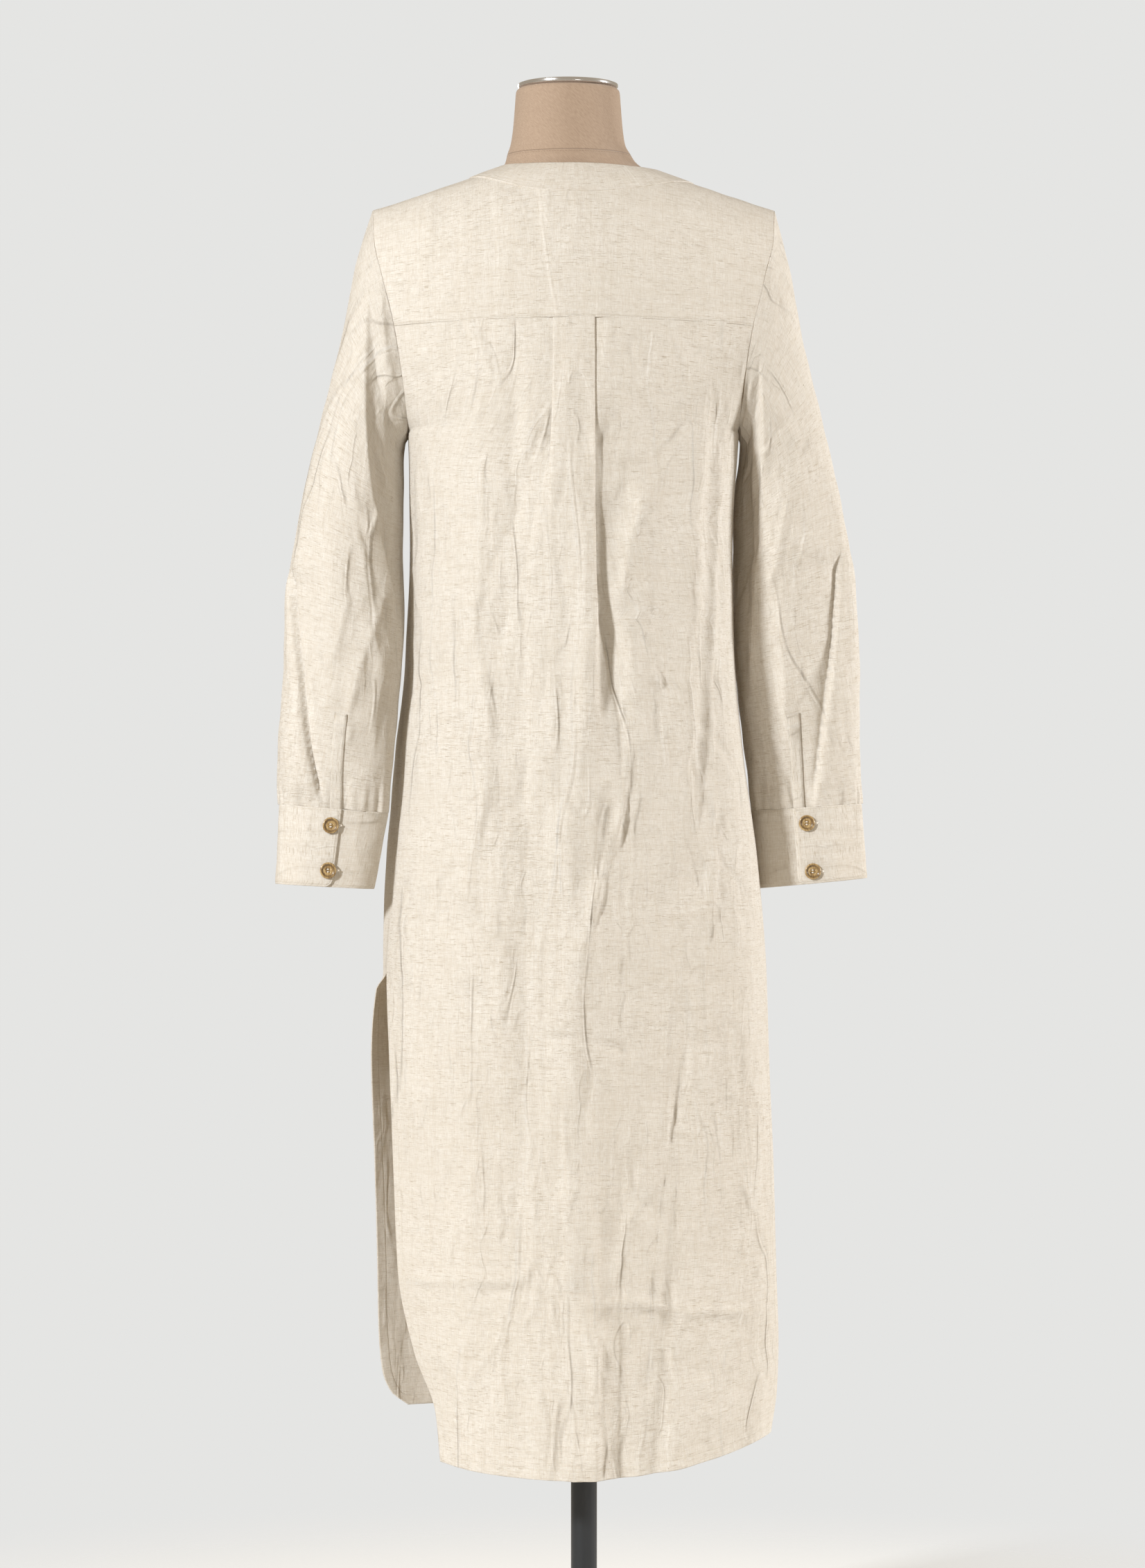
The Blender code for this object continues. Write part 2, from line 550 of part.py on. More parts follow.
def front_panel():
    """The plain front, from the yoke's front edges and the neck band down to its curved hem."""
    (left_s, left_g), (right_s, right_g) = front_half(-1), front_half(1)
    s = np.concatenate([left_s[:, :0:-1], right_s], axis=1)
    g = np.concatenate([left_g[:, :0:-1], right_g], axis=1)
    points = body(s, g)
    relief = fold_height(points, FRONT_FOLDS) * (1 - np.abs(s) ** 6)
    return cloth("front_panel", points + outwards(s, g) * relief[..., None])


def side_sign(side):
    return -1 if side == "left" else 1


def armhole(side, u):
    """Loop round the armhole, u 0 at the shoulder, a quarter at the back, a half at the armpit."""
    back, front = place_of(ARMPIT_Z, -1), place_of(ARMPIT_Z, 1)
    u = np.mod(u, 1)
    g = np.where(u <= 0.5, back * u / 0.5, front * (1 - u) / 0.5)
    loop = body(np.full_like(g, side_sign(side)), g)
    clear_of_body = 0.0013
    loop[..., 0] += side_sign(side) * clear_of_body
    return loop


def oval(side, row, u):
    """Oval section from its outer and inner edge, u 0 at the outer edge and a quarter at the back."""
    z_out, out, z_in, inner, y, half_depth = row
    turn = 2 * math.pi * np.asarray(u)
    share = np.cos(turn)
    x = CENTRE_X + side_sign(side) * ((out + inner) / 2 + (out - inner) / 2 * share)
    z = (z_out + z_in) / 2 + (z_out - z_in) / 2 * share
    return np.stack([x, y - half_depth * np.sin(turn), z], axis=-1)


def sleeve_point(side, u, t):
    """Middle layer of the sleeve, t 0 at the armhole and 1 at the cuff seam; u and t are one-dimensional."""
    sections = np.stack([armhole(side, u)] + [oval(side, row, u) for row in SLEEVE[side]])
    middle = sections.mean(axis=1)
    knots = np.append(0, np.cumsum(np.linalg.norm(np.diff(middle, axis=0), axis=1)))
    flat = smooth(knots / knots[-1], sections.reshape(len(sections), -1), t)
    return flat.reshape(len(t), len(u), 3)


def sleeve_relief(side, u, points):
    """How far the tuck, the gathers at the cuff and the turned-in part by the body move the cloth outwards."""
    u_top, u_foot, z_top = TUCK[side]
    cuff_z = SLEEVE[side][-1][0]
    z = points[..., 2]
    down = np.clip((z_top - z) / (z_top - cuff_z), 0, 1)
    line = u_top + (u_foot - u_top) * down**0.85
    away = np.mod(u[None, :] - line + 0.5, 1) - 0.5
    behind = -step(away, -0.015, 0.015) * step(away, 0.24, 0.02)
    over = 0.35 * step(away, 0.015, -0.02) * step(away, -0.16, -0.03)
    tuck = TUCK_DEPTH * (behind + over) * step(down, 0.02, 0.25) * (1 - 0.75 * step(down, 0.9, 1.0))
    near_cuff = step(z, cuff_z + GATHER_RISE, cuff_z + 0.004)
    gather = GATHER_DEPTH * np.cos(2 * math.pi * GATHERS * u)[None, :] * near_cuff
    row_z = z.mean(axis=1, keepdims=True)
    line = np.interp(-row_z, (-TURN_IN_Z[0], -TURN_IN_Z[1]), TURN_IN[side][:2])
    share = np.clip((u[None, :] - line) / (0.52 - line), 0, 1)
    shown = step(row_z, 1.305, 1.265) * step(row_z, 1.0, 1.13)
    return tuck + gather - TURN_IN[side][2] * np.sin(math.pi * share**0.65) * shown


def wall_out(points, closed, middle):
    """Unit directions off a grid of points, on the side that faces away from the middle of each row's section."""
    if closed:
        over = np.roll(points, -1, axis=1) - np.roll(points, 1, axis=1)
    else:
        over = np.gradient(points, axis=1)
    n = np.cross(over, np.gradient(points, axis=0))
    n = n * np.sign(np.sum(n * (points - middle), axis=-1, keepdims=True))
    return n / np.linalg.norm(n, axis=-1, keepdims=True)


def sleeve_grid(side):
    """The sleeve's middle layer with its tuck and gathers, row by row, and the directions out of it."""
    u = np.linspace(0, 1, SLEEVE_COLUMNS_ROUND, endpoint=False)
    points = sleeve_point(side, u, np.linspace(0, 1, SLEEVE_ROWS + 1))
    out = wall_out(points, True, points.mean(axis=1, keepdims=True))
    return points + out * sleeve_relief(side, u, points)[..., None], out


def sleeve(side):
    """A long sleeve: a tube from the armhole to the cuff, with a deep tuck and gathers above the cuff."""
    points, _ = sleeve_grid(side)
    return cloth(f"sleeve_{side}", points, closed=True, flip=side == "right")


def between(grid, rows, columns):
    """Points of a grid at places between its rows and columns."""
    r = np.clip(np.floor(rows).astype(int), 0, len(grid) - 2)[:, None]
    c = np.floor(columns).astype(int)[None]
    down, along = (rows[:, None] - r)[..., None], (columns[None] - c)[..., None]
    upper = grid[r, c] * (1 - along) + grid[r, c + 1] * along
    lower = grid[r + 1, c] * (1 - along) + grid[r + 1, c + 1] * along
    return upper * (1 - down) + lower * down


def placket(side):
    """The bound edge of the sleeve's slit, a narrow strip that lies on the sleeve just above the cuff."""
    points, out = sleeve_grid(side)
    last = CUFF_LAP[side] * SLEEVE_COLUMNS_ROUND
    first = last - PLACKET_WIDTH / np.linalg.norm(points[-1, 7] - points[-1, 6])
    inner = np.arange(math.ceil(first + 0.15), math.floor(last - 0.15) + 1)
    columns = np.concatenate([[first], inner, [last]])
    heights = between(points, np.arange(SLEEVE_ROWS + 1.0), columns[-1:])[:, 0, 2]
    top = float(np.interp(-PLACKET_Z, -heights, np.arange(SLEEVE_ROWS + 1.0)))
    rows = np.append(top, np.arange(math.ceil(top + 0.2), SLEEVE_ROWS + 1))
    strip = between(points, rows, columns) + between(out, rows, columns) * (CLOTH + SEAM * 0.75)
    return cloth(f"placket_{side}", strip, flip=side == "right")


def cuff_point(side, u, t):
    """Middle layer of the cuff: t 0 at its top and 1 at its foot, and u past 1 is the top layer of the lap."""
    top, foot = (np.array(row) for row in CUFF[side])
    t = np.asarray(t, float)
    u = np.asarray(u, float)
    lap = CUFF_LAP[side]
    level = LAP_LEVEL * (step(u, lap + 0.72, lap + 0.88) - step(u, lap + 0.12, lap - 0.02))
    row = top[:, None, None] + (foot - top)[:, None, None] * t[None, :, None]
    flat = oval(side, row, u[None, :])
    ahead = oval(side, row, u[None, :] + 1e-4)
    along = (ahead - flat) / np.linalg.norm(ahead - flat, axis=-1, keepdims=True)
    down = oval(side, foot, u) - oval(side, top, u)
    out = np.cross(along, down[None]) * side_sign(side)
    out = out / np.linalg.norm(out, axis=-1, keepdims=True)
    return flat + out * level[None, :, None], out


def cuff(side):
    """A doubled cuff that laps over itself and buttons at the back of the wrist."""
    lap = CUFF_LAP[side]
    u = np.linspace(lap - CUFF_UNDER, 1 + lap, CUFF_COLUMNS_ROUND + 1)
    points, _ = cuff_point(side, u, np.linspace(0, 1, CUFF_ROWS + 1))
    drop = np.array([0, 0, -SEAM])
    return cloth(f"cuff_{side}", points + drop, BAND, flip=side == "right")


def turned(name, profile, finish, steps=28):
    """A body of revolution about Z: an outline from top to bottom between axis points, or a closed one off the axis."""
    mesh = bpy.data.meshes.new(name)
    ring = profile[0][0] > 0
    edges = [(i, i + 1) for i in range(len(profile) - 1)] + ([(len(profile) - 1, 0)] if ring else [])
    mesh.from_pydata([(r, 0, z) for r, z in profile], edges, [])
    mesh.materials.append(material(finish))
    made = bpy.data.objects.new(name, mesh)
    PARTS.objects.link(made)
    screw = made.modifiers.new("turn", "SCREW")
    screw.steps = screw.render_steps = steps
    screw.use_merge_vertices = True
    screw.merge_threshold = 0.00001
    screw.use_smooth_shade = True
    return made


def button(side, name):
    """A four-hole button with a raised rim, lying on the cuff's top layer."""
    u, t = BUTTONS[side][name]
    point, out = cuff_point(side, np.array([1 + u]), np.array([t]))
    point, out = Vector(point[0, 0]), Vector(out[0, 0])
    rim, well = BUTTON_R * 0.72, BUTTON_THICK * 0.62
    profile = [
        (0.0, well),
        (rim * 0.8, well),
        (rim, BUTTON_THICK),
        (BUTTON_R * 0.93, BUTTON_THICK),
        (BUTTON_R, BUTTON_THICK * 0.6),
        (BUTTON_R * 0.8, 0.0),
        (0.0, 0.0),
    ]
    made = turned(f"button_{side}_{name}", profile, HORN, 18)
    hole_r, hole_at = 0.0009, 0.0017
    for k in range(4):
        angle = math.pi / 4 + k * math.pi / 2
        cutter = hole_cutter(f"hole_{side}_{name}_{k}", hole_r, hole_at * math.cos(angle), hole_at * math.sin(angle))
        cutter.parent = made
        cut = made.modifiers.new("hole", "BOOLEAN")
        cut.operation = "DIFFERENCE"
        cut.solver = "EXACT"
        cut.object = cutter
    made.location = point + out * (BAND / 2 + SEAM)
    made.rotation_mode = "QUATERNION"
    made.rotation_quaternion = out.to_track_quat("Z", "Y")
    return made


def hole_cutter(name, radius, x, y):
    """A thin upright prism for one thread hole."""
    mesh = bpy.data.meshes.new(name)
    shape = bmesh.new()
    bmesh.ops.create_cone(
        shape, cap_ends=True, segments=6, radius1=radius, radius2=radius, depth=BUTTON_THICK * 3
    )
    bmesh.ops.translate(shape, vec=(x, y, 0), verts=shape.verts)
    shape.to_mesh(mesh)
    shape.free()
    made = bpy.data.objects.new(name, mesh)
    made.hide_render = True
    made.display_type = "WIRE"
    CUTTERS.objects.link(made)
    return made


def shoulder_height(reach):
    """Height of the shoulder line's outer face at this distance from the centre line."""
    z_mid, _, z_edge, tip = SHOULDER_LINE[:4]
    return z_mid + (z_edge - z_mid) * slope_shape(abs(reach) / tip, 0)


def form_rows():
    """Every section of the dress form, from its foot to the top of the neck."""
    rows = [list(row) for row in FORM]
    for half, x, y, front, back in FORM_TOP:
        rows.append([shoulder_height(half) - CLOTH / 2 - FORM_GAP, x, y, half, front, back])
    rows += [list(row) for row in NECK]
    return rows


def inside_cloth(x, z):
    """How far back and forward the dress's inner face stands at this distance from the centre line and this height."""
    gap = CLOTH / 2 + FORM_GAP
    z = min(z + gap, shoulder_height(x) - 1e-5)
    limits = []
    for side in (-1, 1):
        g = np.linspace(0, place_of(ARMPIT_Z, side), 300)
        path = body(across(np.full_like(g, x), g), g)
        inner = path[:, 1] - side * gap
        limits.append(float(np.interp(z, path[::-1, 2], inner[::-1])))
    return limits


def form_torso():
    """The padded torso and neck: stacked ovals closed by a flat foot and a flat top, kept inside the dress."""
    turn = np.linspace(0, 2 * math.pi, FORM_COLUMNS_ROUND, endpoint=False)
    rings = []
    for z, x, y, half, front, back in form_rows():
        ring = []
        for angle in turn:
            reach = half * math.cos(angle)
            depth = y + (front if math.sin(angle) > 0 else back) * math.sin(angle)
            if ARMPIT_Z < z < NECK[0][0]:
                rear, fore = inside_cloth(reach, z)
                depth = min(max(depth, rear), fore)
            ring.append((x + reach, depth, z))
        rings.append(ring)
    grid = np.array(rings)
    rows = len(rings)
    faces = grid_faces(rows, FORM_COLUMNS_ROUND, closed=True)
    faces.append(tuple(range(FORM_COLUMNS_ROUND))[::-1])
    faces.append(tuple((rows - 1) * FORM_COLUMNS_ROUND + c for c in range(FORM_COLUMNS_ROUND)))
    return mesh_object("form_torso", grid.reshape(-1, 3), faces, JERSEY)


def neck_cap():
    """The polished metal cap that closes the top of the neck."""
    radius, rim = 0.0484, 0.0036
    foot = NECK[-1][0] + 0.0003
    profile = [
        (0.0, CAP_Z + 0.0014),
        (radius * 0.6, CAP_Z + 0.0010),
        (radius * 0.93, CAP_Z),
        (radius, CAP_Z - 0.0012),
        (radius, CAP_Z - rim),
        (radius * 0.985, CAP_Z - rim - 0.0008),
        (radius * 0.90, foot),
        (0.0, foot),
    ]
    made = turned("neck_cap", profile, CHROME, 36)
    made.location = (NECK[-1][1], NECK[-1][2], 0)
    return made


def stand():
    """The pole, the socket under the torso that takes it, and the round base it stands in."""
    neck_top = BASE_THICK + 0.055
    base = [
        (0.0, BASE_THICK + 0.004),
        (POLE_R + 0.0003, BASE_THICK + 0.004),
        (POLE_R + 0.0003, neck_top),
        (POLE_R + 0.005, neck_top),
        (POLE_R + 0.006, BASE_THICK + 0.010),
        (POLE_R + 0.014, BASE_THICK + 0.003),
        (BASE_R - 0.012, BASE_THICK),
        (BASE_R, BASE_THICK * 0.55),
        (BASE_R, 0.0),
        (0.0, 0.0),
    ]
    turned("base", base, BLACK_PAINT, 40)
    pole_foot, pole_top = BASE_THICK + 0.0043, TORSO_FOOT_Z - 0.0003
    turned("pole", [(0, pole_top), (POLE_R, pole_top), (POLE_R, pole_foot), (0, pole_foot)], BLACK_PAINT, 24)
    plate_top = TORSO_FOOT_Z - 0.0003
    bore = POLE_R + 0.0003
    mesh_ring = [
        (bore, plate_top),
        (0.042, plate_top),
        (0.042, plate_top - 0.005),
        (0.021, plate_top - 0.008),
        (0.019, plate_top - 0.045),
        (bore, plate_top - 0.045),
    ]
    turned("pole_socket", mesh_ring, BLACK_PAINT, 28)


def build():
    back_panel()
    front_panel()
    back_yoke()
    neck_band()
    for side in ("left", "right"):
        sleeve(side)
        placket(side)
        cuff(side)
        for name in BUTTONS[side]:
            button(side, name)
    form_torso()
    neck_cap()
    stand()


build()
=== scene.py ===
import math

import bpy
import numpy as np
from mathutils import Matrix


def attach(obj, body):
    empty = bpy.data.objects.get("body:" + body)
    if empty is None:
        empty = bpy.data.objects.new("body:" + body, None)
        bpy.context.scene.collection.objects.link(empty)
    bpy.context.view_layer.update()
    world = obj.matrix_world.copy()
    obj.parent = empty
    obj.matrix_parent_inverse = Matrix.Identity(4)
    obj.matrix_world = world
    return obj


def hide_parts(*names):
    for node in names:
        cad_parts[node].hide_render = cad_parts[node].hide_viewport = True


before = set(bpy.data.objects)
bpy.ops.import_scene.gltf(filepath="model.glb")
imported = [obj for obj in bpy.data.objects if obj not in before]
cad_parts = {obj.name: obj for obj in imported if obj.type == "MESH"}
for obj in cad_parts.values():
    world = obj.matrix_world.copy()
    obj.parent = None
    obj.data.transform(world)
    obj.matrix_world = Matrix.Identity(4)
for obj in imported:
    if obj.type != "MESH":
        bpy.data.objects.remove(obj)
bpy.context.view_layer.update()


# ----------------------------------------
# Studio. A pale disc of floor that melts into the air round it, a soft light high on the left, weaker ones on the
# right, in front and behind, air that lights less than it shows, and a level camera square on to the dress's back.
CAMERA_PLACE = (-0.011, -4.5, 0.870)
CAMERA_LENS = 107.4
AIR = (0.783, 0.783, 0.770)
AIR_GLOW = (0.450, 0.385, 0.298)  # what the air sends onto the cloth, warmer and dimmer than it shows
FLOOR_REACH = 1.25
FLOOR_SOLID = 0.42
FLOOR_STEPS = 96
# name, place, aim, size, watts, colour
LIGHTS = (
    ("key_light", (-3.0, -3.3, 2.4), (0.0, 0.0, 0.85), 0.4, 240, (0.955, 0.975, 1.0)),
    ("side_light", (3.4, 0.1, 1.4), (0.1, 0.0, 0.90), 0.8, 115, (0.97, 0.98, 1.0)),
    ("front_light", (1.8, -4.3, 0.9), (0.1, 0.0, 0.80), 1.0, 16, (1.0, 0.99, 0.97)),
    ("far_light", (-1.2, 4.4, 1.6), (0.0, 0.0, 0.80), 1.4, 30, (0.97, 0.98, 1.0)),
)


class Signal:
    """A shader socket that stands in sums, differences and products: each one adds its Math node."""

    def __init__(self, finish, socket):
        self.finish = finish
        self.socket = socket

    def math(self, operation, first, second=0.0):
        return self.finish.node("ShaderNodeMath", {"operation": operation}, {0: first, 1: second})

    def __add__(self, other):
        return self.math("ADD", self, other)

    def __sub__(self, other):
        return self.math("SUBTRACT", self, other)

    def __rsub__(self, other):
        return self.math("SUBTRACT", other, self)

    def __mul__(self, other):
        return self.math("MULTIPLY", self, other)

    def __abs__(self):
        return self.finish.node("ShaderNodeMath", {"operation": "ABSOLUTE"}, {0: self})

    def to_and_fro(self, size):
        """Rises from 0 to size and falls again, over and over."""
        return self.math("PINGPONG", self, size)

    __radd__ = __add__
    __rmul__ = __mul__


class Finish:
    """A material in the making, round a Principled shader on whose own sockets its constants are set."""

    def __init__(self, name, constants):
        self.material = bpy.data.materials.new(name)
        self.material.use_nodes = True
        self.tree = self.material.node_tree
        self.shader = self.tree.nodes["Principled BSDF"]
        self.set(constants)

    def feed(self, socket, value):
        if isinstance(value, Signal):
            self.tree.links.new(value.socket, socket)
        else:
            socket.default_value = value

    def set(self, sockets):
        for name, value in sockets.items():
            self.feed(self.shader.inputs[name], value)

    def node(self, kind, settings, sockets, out=0):
        """Adds a node with its settings and the values or links of its sockets, and gives the output chosen."""
        made = self.tree.nodes.new(kind)
        for name, value in settings.items():
            setattr(made, name, value)
        for key, value in sockets.items():
            self.feed(made.inputs[key], value)
        return Signal(self, made.outputs[out])

    def between(self, value, low, high):
        """0 where the value is at low, 1 at high, easing in and out."""
        settings = {"interpolation_type": "SMOOTHSTEP"}
        return self.node("ShaderNodeMapRange", settings, {"Value": value, "From Min": low, "From Max": high})

    def mix(self, share, first, second):
        """The first colour where share is 0, the second where it is 1."""
        return self.node("ShaderNodeMix", {"data_type": "RGBA"}, {0: share, 6: first, 7: second}, out=2)

    def place(self):
        """The three parts of the place on the object, in metres."""
        found = self.node("ShaderNodeTexCoord", {}, {}, out="Object")
        return [self.node("ShaderNodeSeparateXYZ", {}, {0: found}, out=k) for k in range(3)]

    def chart(self, name):
        """The two parts of a UV map that is laid out in metres."""
        found = self.node("ShaderNodeUVMap", {"uv_map": name}, {})
        return [self.node("ShaderNodeSeparateXYZ", {}, {0: found}, out=k) for k in range(2)]

    def noise(self, x, y, z=0.0, detail=1.0, rough=0.5):
        """Noise that is even round 0.5, with cells of size 1 in what it is given."""
        at = self.node("ShaderNodeCombineXYZ", {}, {0: x, 1: y, 2: z})
        sockets = {"Vector": at, "Scale": 1.0, "Detail": detail, "Roughness": rough}
        return self.node("ShaderNodeTexNoise", {}, sockets)

    def bump(self, height, reach):
        """Raises the surface by a height given in units of reach."""
        sockets = {"Strength": 1.0, "Distance": reach, "Height": height}
        self.set({"Normal": self.node("ShaderNodeBump", {}, sockets)})


def piece(name, points, faces, finish, stands_for=(), charts=None, wall=0.0, slot=None, smooth_shade=True):
    """A mesh object from its points and faces, with UV charts given per face corner, that rides on the stand."""
    mesh = bpy.data.meshes.new(name)
    mesh.from_pydata(np.reshape(points, (-1, 3)).tolist(), [], faces)
    mesh.materials.append(finish.material)
    for chart, corners in (charts or {}).items():
        layer = mesh.uv_layers.new(name=chart)
        layer.uv.foreach_set("vector", np.asarray(corners, np.float32).ravel())
    if smooth_shade:
        mesh.shade_smooth()
    made = bpy.data.objects.new(name, mesh)
    bpy.context.scene.collection.objects.link(made)
    if wall:
        shell = made.modifiers.new("wall", "SOLIDIFY")
        shell.thickness = wall
        shell.offset = 0
        shell.use_quality_normals = True
    if slot:
        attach(made, "root")
    if stands_for:
        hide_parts(*stands_for)
    return made


def join(*parts):
    """The parts of points, faces or charts, spread to one shape and put side by side."""
    return np.stack(np.broadcast_arrays(*parts), axis=-1)


def angles_round(steps):
    """Even angles once round."""
    return np.linspace(0, 2 * math.pi, steps, endpoint=False)


bpy.context.scene.view_settings.view_transform = "Standard"
air = bpy.data.worlds.new("studio_air")
air.use_nodes = True
air_nodes = air.node_tree.nodes
seen_air, air_colour = air_nodes.new("ShaderNodeLightPath"), air_nodes.new("ShaderNodeMix")
air_colour.data_type = "RGBA"
air_colour.inputs[6].default_value, air_colour.inputs[7].default_value = (*AIR_GLOW, 1.0), (*AIR, 1.0)
air.node_tree.links.new(seen_air.outputs["Is Camera Ray"], air_colour.inputs[0])
air.node_tree.links.new(air_colour.outputs[2], air_nodes["Background"].inputs["Color"])
bpy.context.scene.world = air

pale_floor = Finish("pale_floor", {"Base Color": (0.86, 0.86, 0.85, 1.0), "Roughness": 0.9})
floor_x, floor_y, _ = pale_floor.place()
squares = floor_x * floor_x + floor_y * floor_y
out_from_pole = pale_floor.node("ShaderNodeMath", {"operation": "SQRT"}, {0: squares})
pale_floor.set({"Alpha": 1 - pale_floor.between(out_from_pole, FLOOR_SOLID, FLOOR_REACH * 0.97)})
rim = angles_round(FLOOR_STEPS)
disc = join(FLOOR_REACH * np.cos(rim), FLOOR_REACH * np.sin(rim), 0)
piece("studio_floor", disc, [tuple(range(FLOOR_STEPS))], pale_floor, smooth_shade=False)

for name, place, aim, size, watts, colour in LIGHTS:
    light = bpy.data.lights.new(name, "AREA")
    light.energy, light.size, light.color = watts, size, colour
    lamp = bpy.data.objects.new(name, light)
    lamp.location = place
    towards = np.array(aim) - np.array(place)
    lamp.rotation_euler = (
        math.atan2(math.hypot(towards[0], towards[1]), -towards[2]), 0, math.atan2(-towards[0], towards[1])
    )
    bpy.context.scene.collection.objects.link(lamp)

camera = bpy.data.objects.new("camera", bpy.data.cameras.new("camera"))
camera.location = CAMERA_PLACE
camera.rotation_euler = (math.pi / 2, 0, 0)
camera.data.lens = CAMERA_LENS
bpy.context.scene.collection.objects.link(camera)
bpy.context.scene.camera = camera


# ----------------------------------------
# Back. One length of slubbed plain-weave linen from the yoke seam to a curved, turned hem, with a box pleat folded
# into its top at the centre, sewn to the front down both sides as far as the slits.
CLOTH = 0.0010
CENTRE_X = -0.010
YOKE_Z = 1.310
SLIT_Z = 0.690
ARMPIT_Z = 1.205
SHOULDER_HOLLOW = 0.31
BACK_SEAM = 0.0002  # how far past the seam line the back goes under the yoke
HEM_STITCH = 0.0098
NO_STITCH = 0.05
CREASE_UNIT = 0.0013  # metres for 1 in a crease's height
SIDE_END = 0.9998  # where the cloth ends across, short of the side seam at 1
BACK_ROWS, BACK_SIDE_COLUMNS, PLEAT_POINTS = 288, 49, 25

# Sections: height and depth of the centre line, then reach, depth, turn in degrees and height of each edge, given
# once and doubled where both edges are the same
# columns: z, y, left, y_left, turn_left, z_left, right, y_right, turn_right, z_right
BACK_SECTIONS = (
    (0.2147, -0.103, 0.1265, -0.052, 56, 0.226, 0.1890, -0.010, 78, 0.248),
    (0.265, -0.105, 0.1310, -0.050, 58, 0.272, 0.1950, -0.005, 80, 0.290),
    (0.325, -0.107, 0.1520, -0.042, 60, 0.330, 0.1965, -0.003, 80, 0.335),
    (0.400, -0.108, 0.1670, -0.038, 62, 0.403, 0.1945, -0.002, 80, 0.402),
    (0.500, -0.108, 0.1715, -0.036, 64, 0.500, 0.1920, 0.000, 80, 0.500),
    (0.600, -0.108, 0.1755, -0.030, 66, 0.600, 0.1880, 0.004, 82, 0.600),
    (0.690, -0.108, 0.1790, -0.012, 76, 0.690, 0.1855, 0.012, 86, 0.690),
    (0.700, -0.108, 0.1785, -0.012, 76, 0.700, 0.1850, 0.012, 87, 0.700),
    (0.800, -0.108, 0.1690, -0.022, 70, 0.800, 0.1765, 0.012, 88, 0.800),
    (0.900, -0.106, 0.1640, -0.018, 73, 0.900, 0.1630, 0.012, 88, 0.900),
    (1.000, -0.105, 0.1610, 0.008, 86, 1.000, 0.1545, 0.012, 88, 1.000),
    (1.100, -0.106, 0.1570, 0.012, 92, 1.100, 0.1525, 0.012, 92, 1.100),
    (1.205, -0.106, *2 * (0.1580, 0.012, 95, 1.205)),
    (1.220, -0.106, *2 * (0.1585, -0.012, 80, 1.213)),
    (1.255, -0.105, *2 * (0.1610, -0.036, 68, 1.242)),
    (1.311, -0.101, *2 * (0.1708, -0.050, 58, 1.3075)),
    (1.365, -0.093, *2 * (0.1815, -0.047, 52, 1.352)),
    (1.408, -0.080, *2 * (0.1900, -0.034, 50, 1.388)),
    (1.442, -0.060, *2 * (0.1915, -0.017, 50, 1.410)),
    (1.468, -0.034, *2 * (0.1925, -0.001, 50, 1.4195)),
)
SHOULDER_SECTION = (1.4900, 0.018, *2 * (0.1930, 0.014, 50, 1.4225))
FRONT_SECTIONS = (
    (1.464, 0.068, *2 * (0.1925, 0.029, 50, 1.4185)),
    (1.425, 0.092, *2 * (0.1900, 0.046, 50, 1.405)),
    (1.370, 0.110, *2 * (0.1800, 0.062, 52, 1.365)),
    (1.300, 0.126, *2 * (0.1660, 0.066, 60, 1.300)),
    (1.252, 0.133, *2 * (0.1600, 0.053, 72, 1.242)),
    (1.220, 0.135, *2 * (0.1585, 0.034, 80, 1.213)),
    (1.205, 0.136, *2 * (0.1580, 0.012, 92, 1.205)),
    (1.100, 0.130, 0.1570, 0.012, 92, 1.100, 0.1525, 0.012, 92, 1.100),
    (1.000, 0.122, 0.1610, 0.008, 94, 1.000, 0.1545, 0.012, 92, 1.000),
    (0.900, 0.119, 0.1640, -0.018, 107, 0.900, 0.1630, 0.012, 92, 0.900),
    (0.800, 0.119, 0.1690, -0.022, 110, 0.800, 0.1765, 0.012, 92, 0.800),
    (0.700, 0.119, 0.1785, -0.012, 103, 0.700, 0.1850, 0.012, 92, 0.700),
    (0.690, 0.119, 0.1790, -0.012, 102, 0.690, 0.1855, 0.012, 91, 0.690),
    (0.672, 0.119, 0.1900, 0.010, 82, 0.672, 0.1850, 0.018, 86, 0.672),
    (0.600, 0.119, 0.1962, 0.040, 62, 0.600, 0.1820, 0.026, 80, 0.600),
    (0.500, 0.119, 0.1935, 0.056, 56, 0.500, 0.1810, 0.030, 78, 0.500),
    (0.400, 0.118, 0.1912, 0.064, 52, 0.400, 0.1800, 0.032, 76, 0.400),
    (0.345, 0.117, 0.1903, 0.066, 50, 0.345, 0.1790, 0.032, 76, 0.347),
    (0.300, 0.116, 0.1868, 0.068, 50, 0.299, 0.1760, 0.033, 74, 0.304),
    (0.278, 0.116, 0.1782, 0.069, 50, 0.277, 0.1690, 0.035, 72, 0.283),
    (0.262, 0.115, 0.1615, 0.070, 50, 0.264, 0.1550, 0.038, 70, 0.270),
)

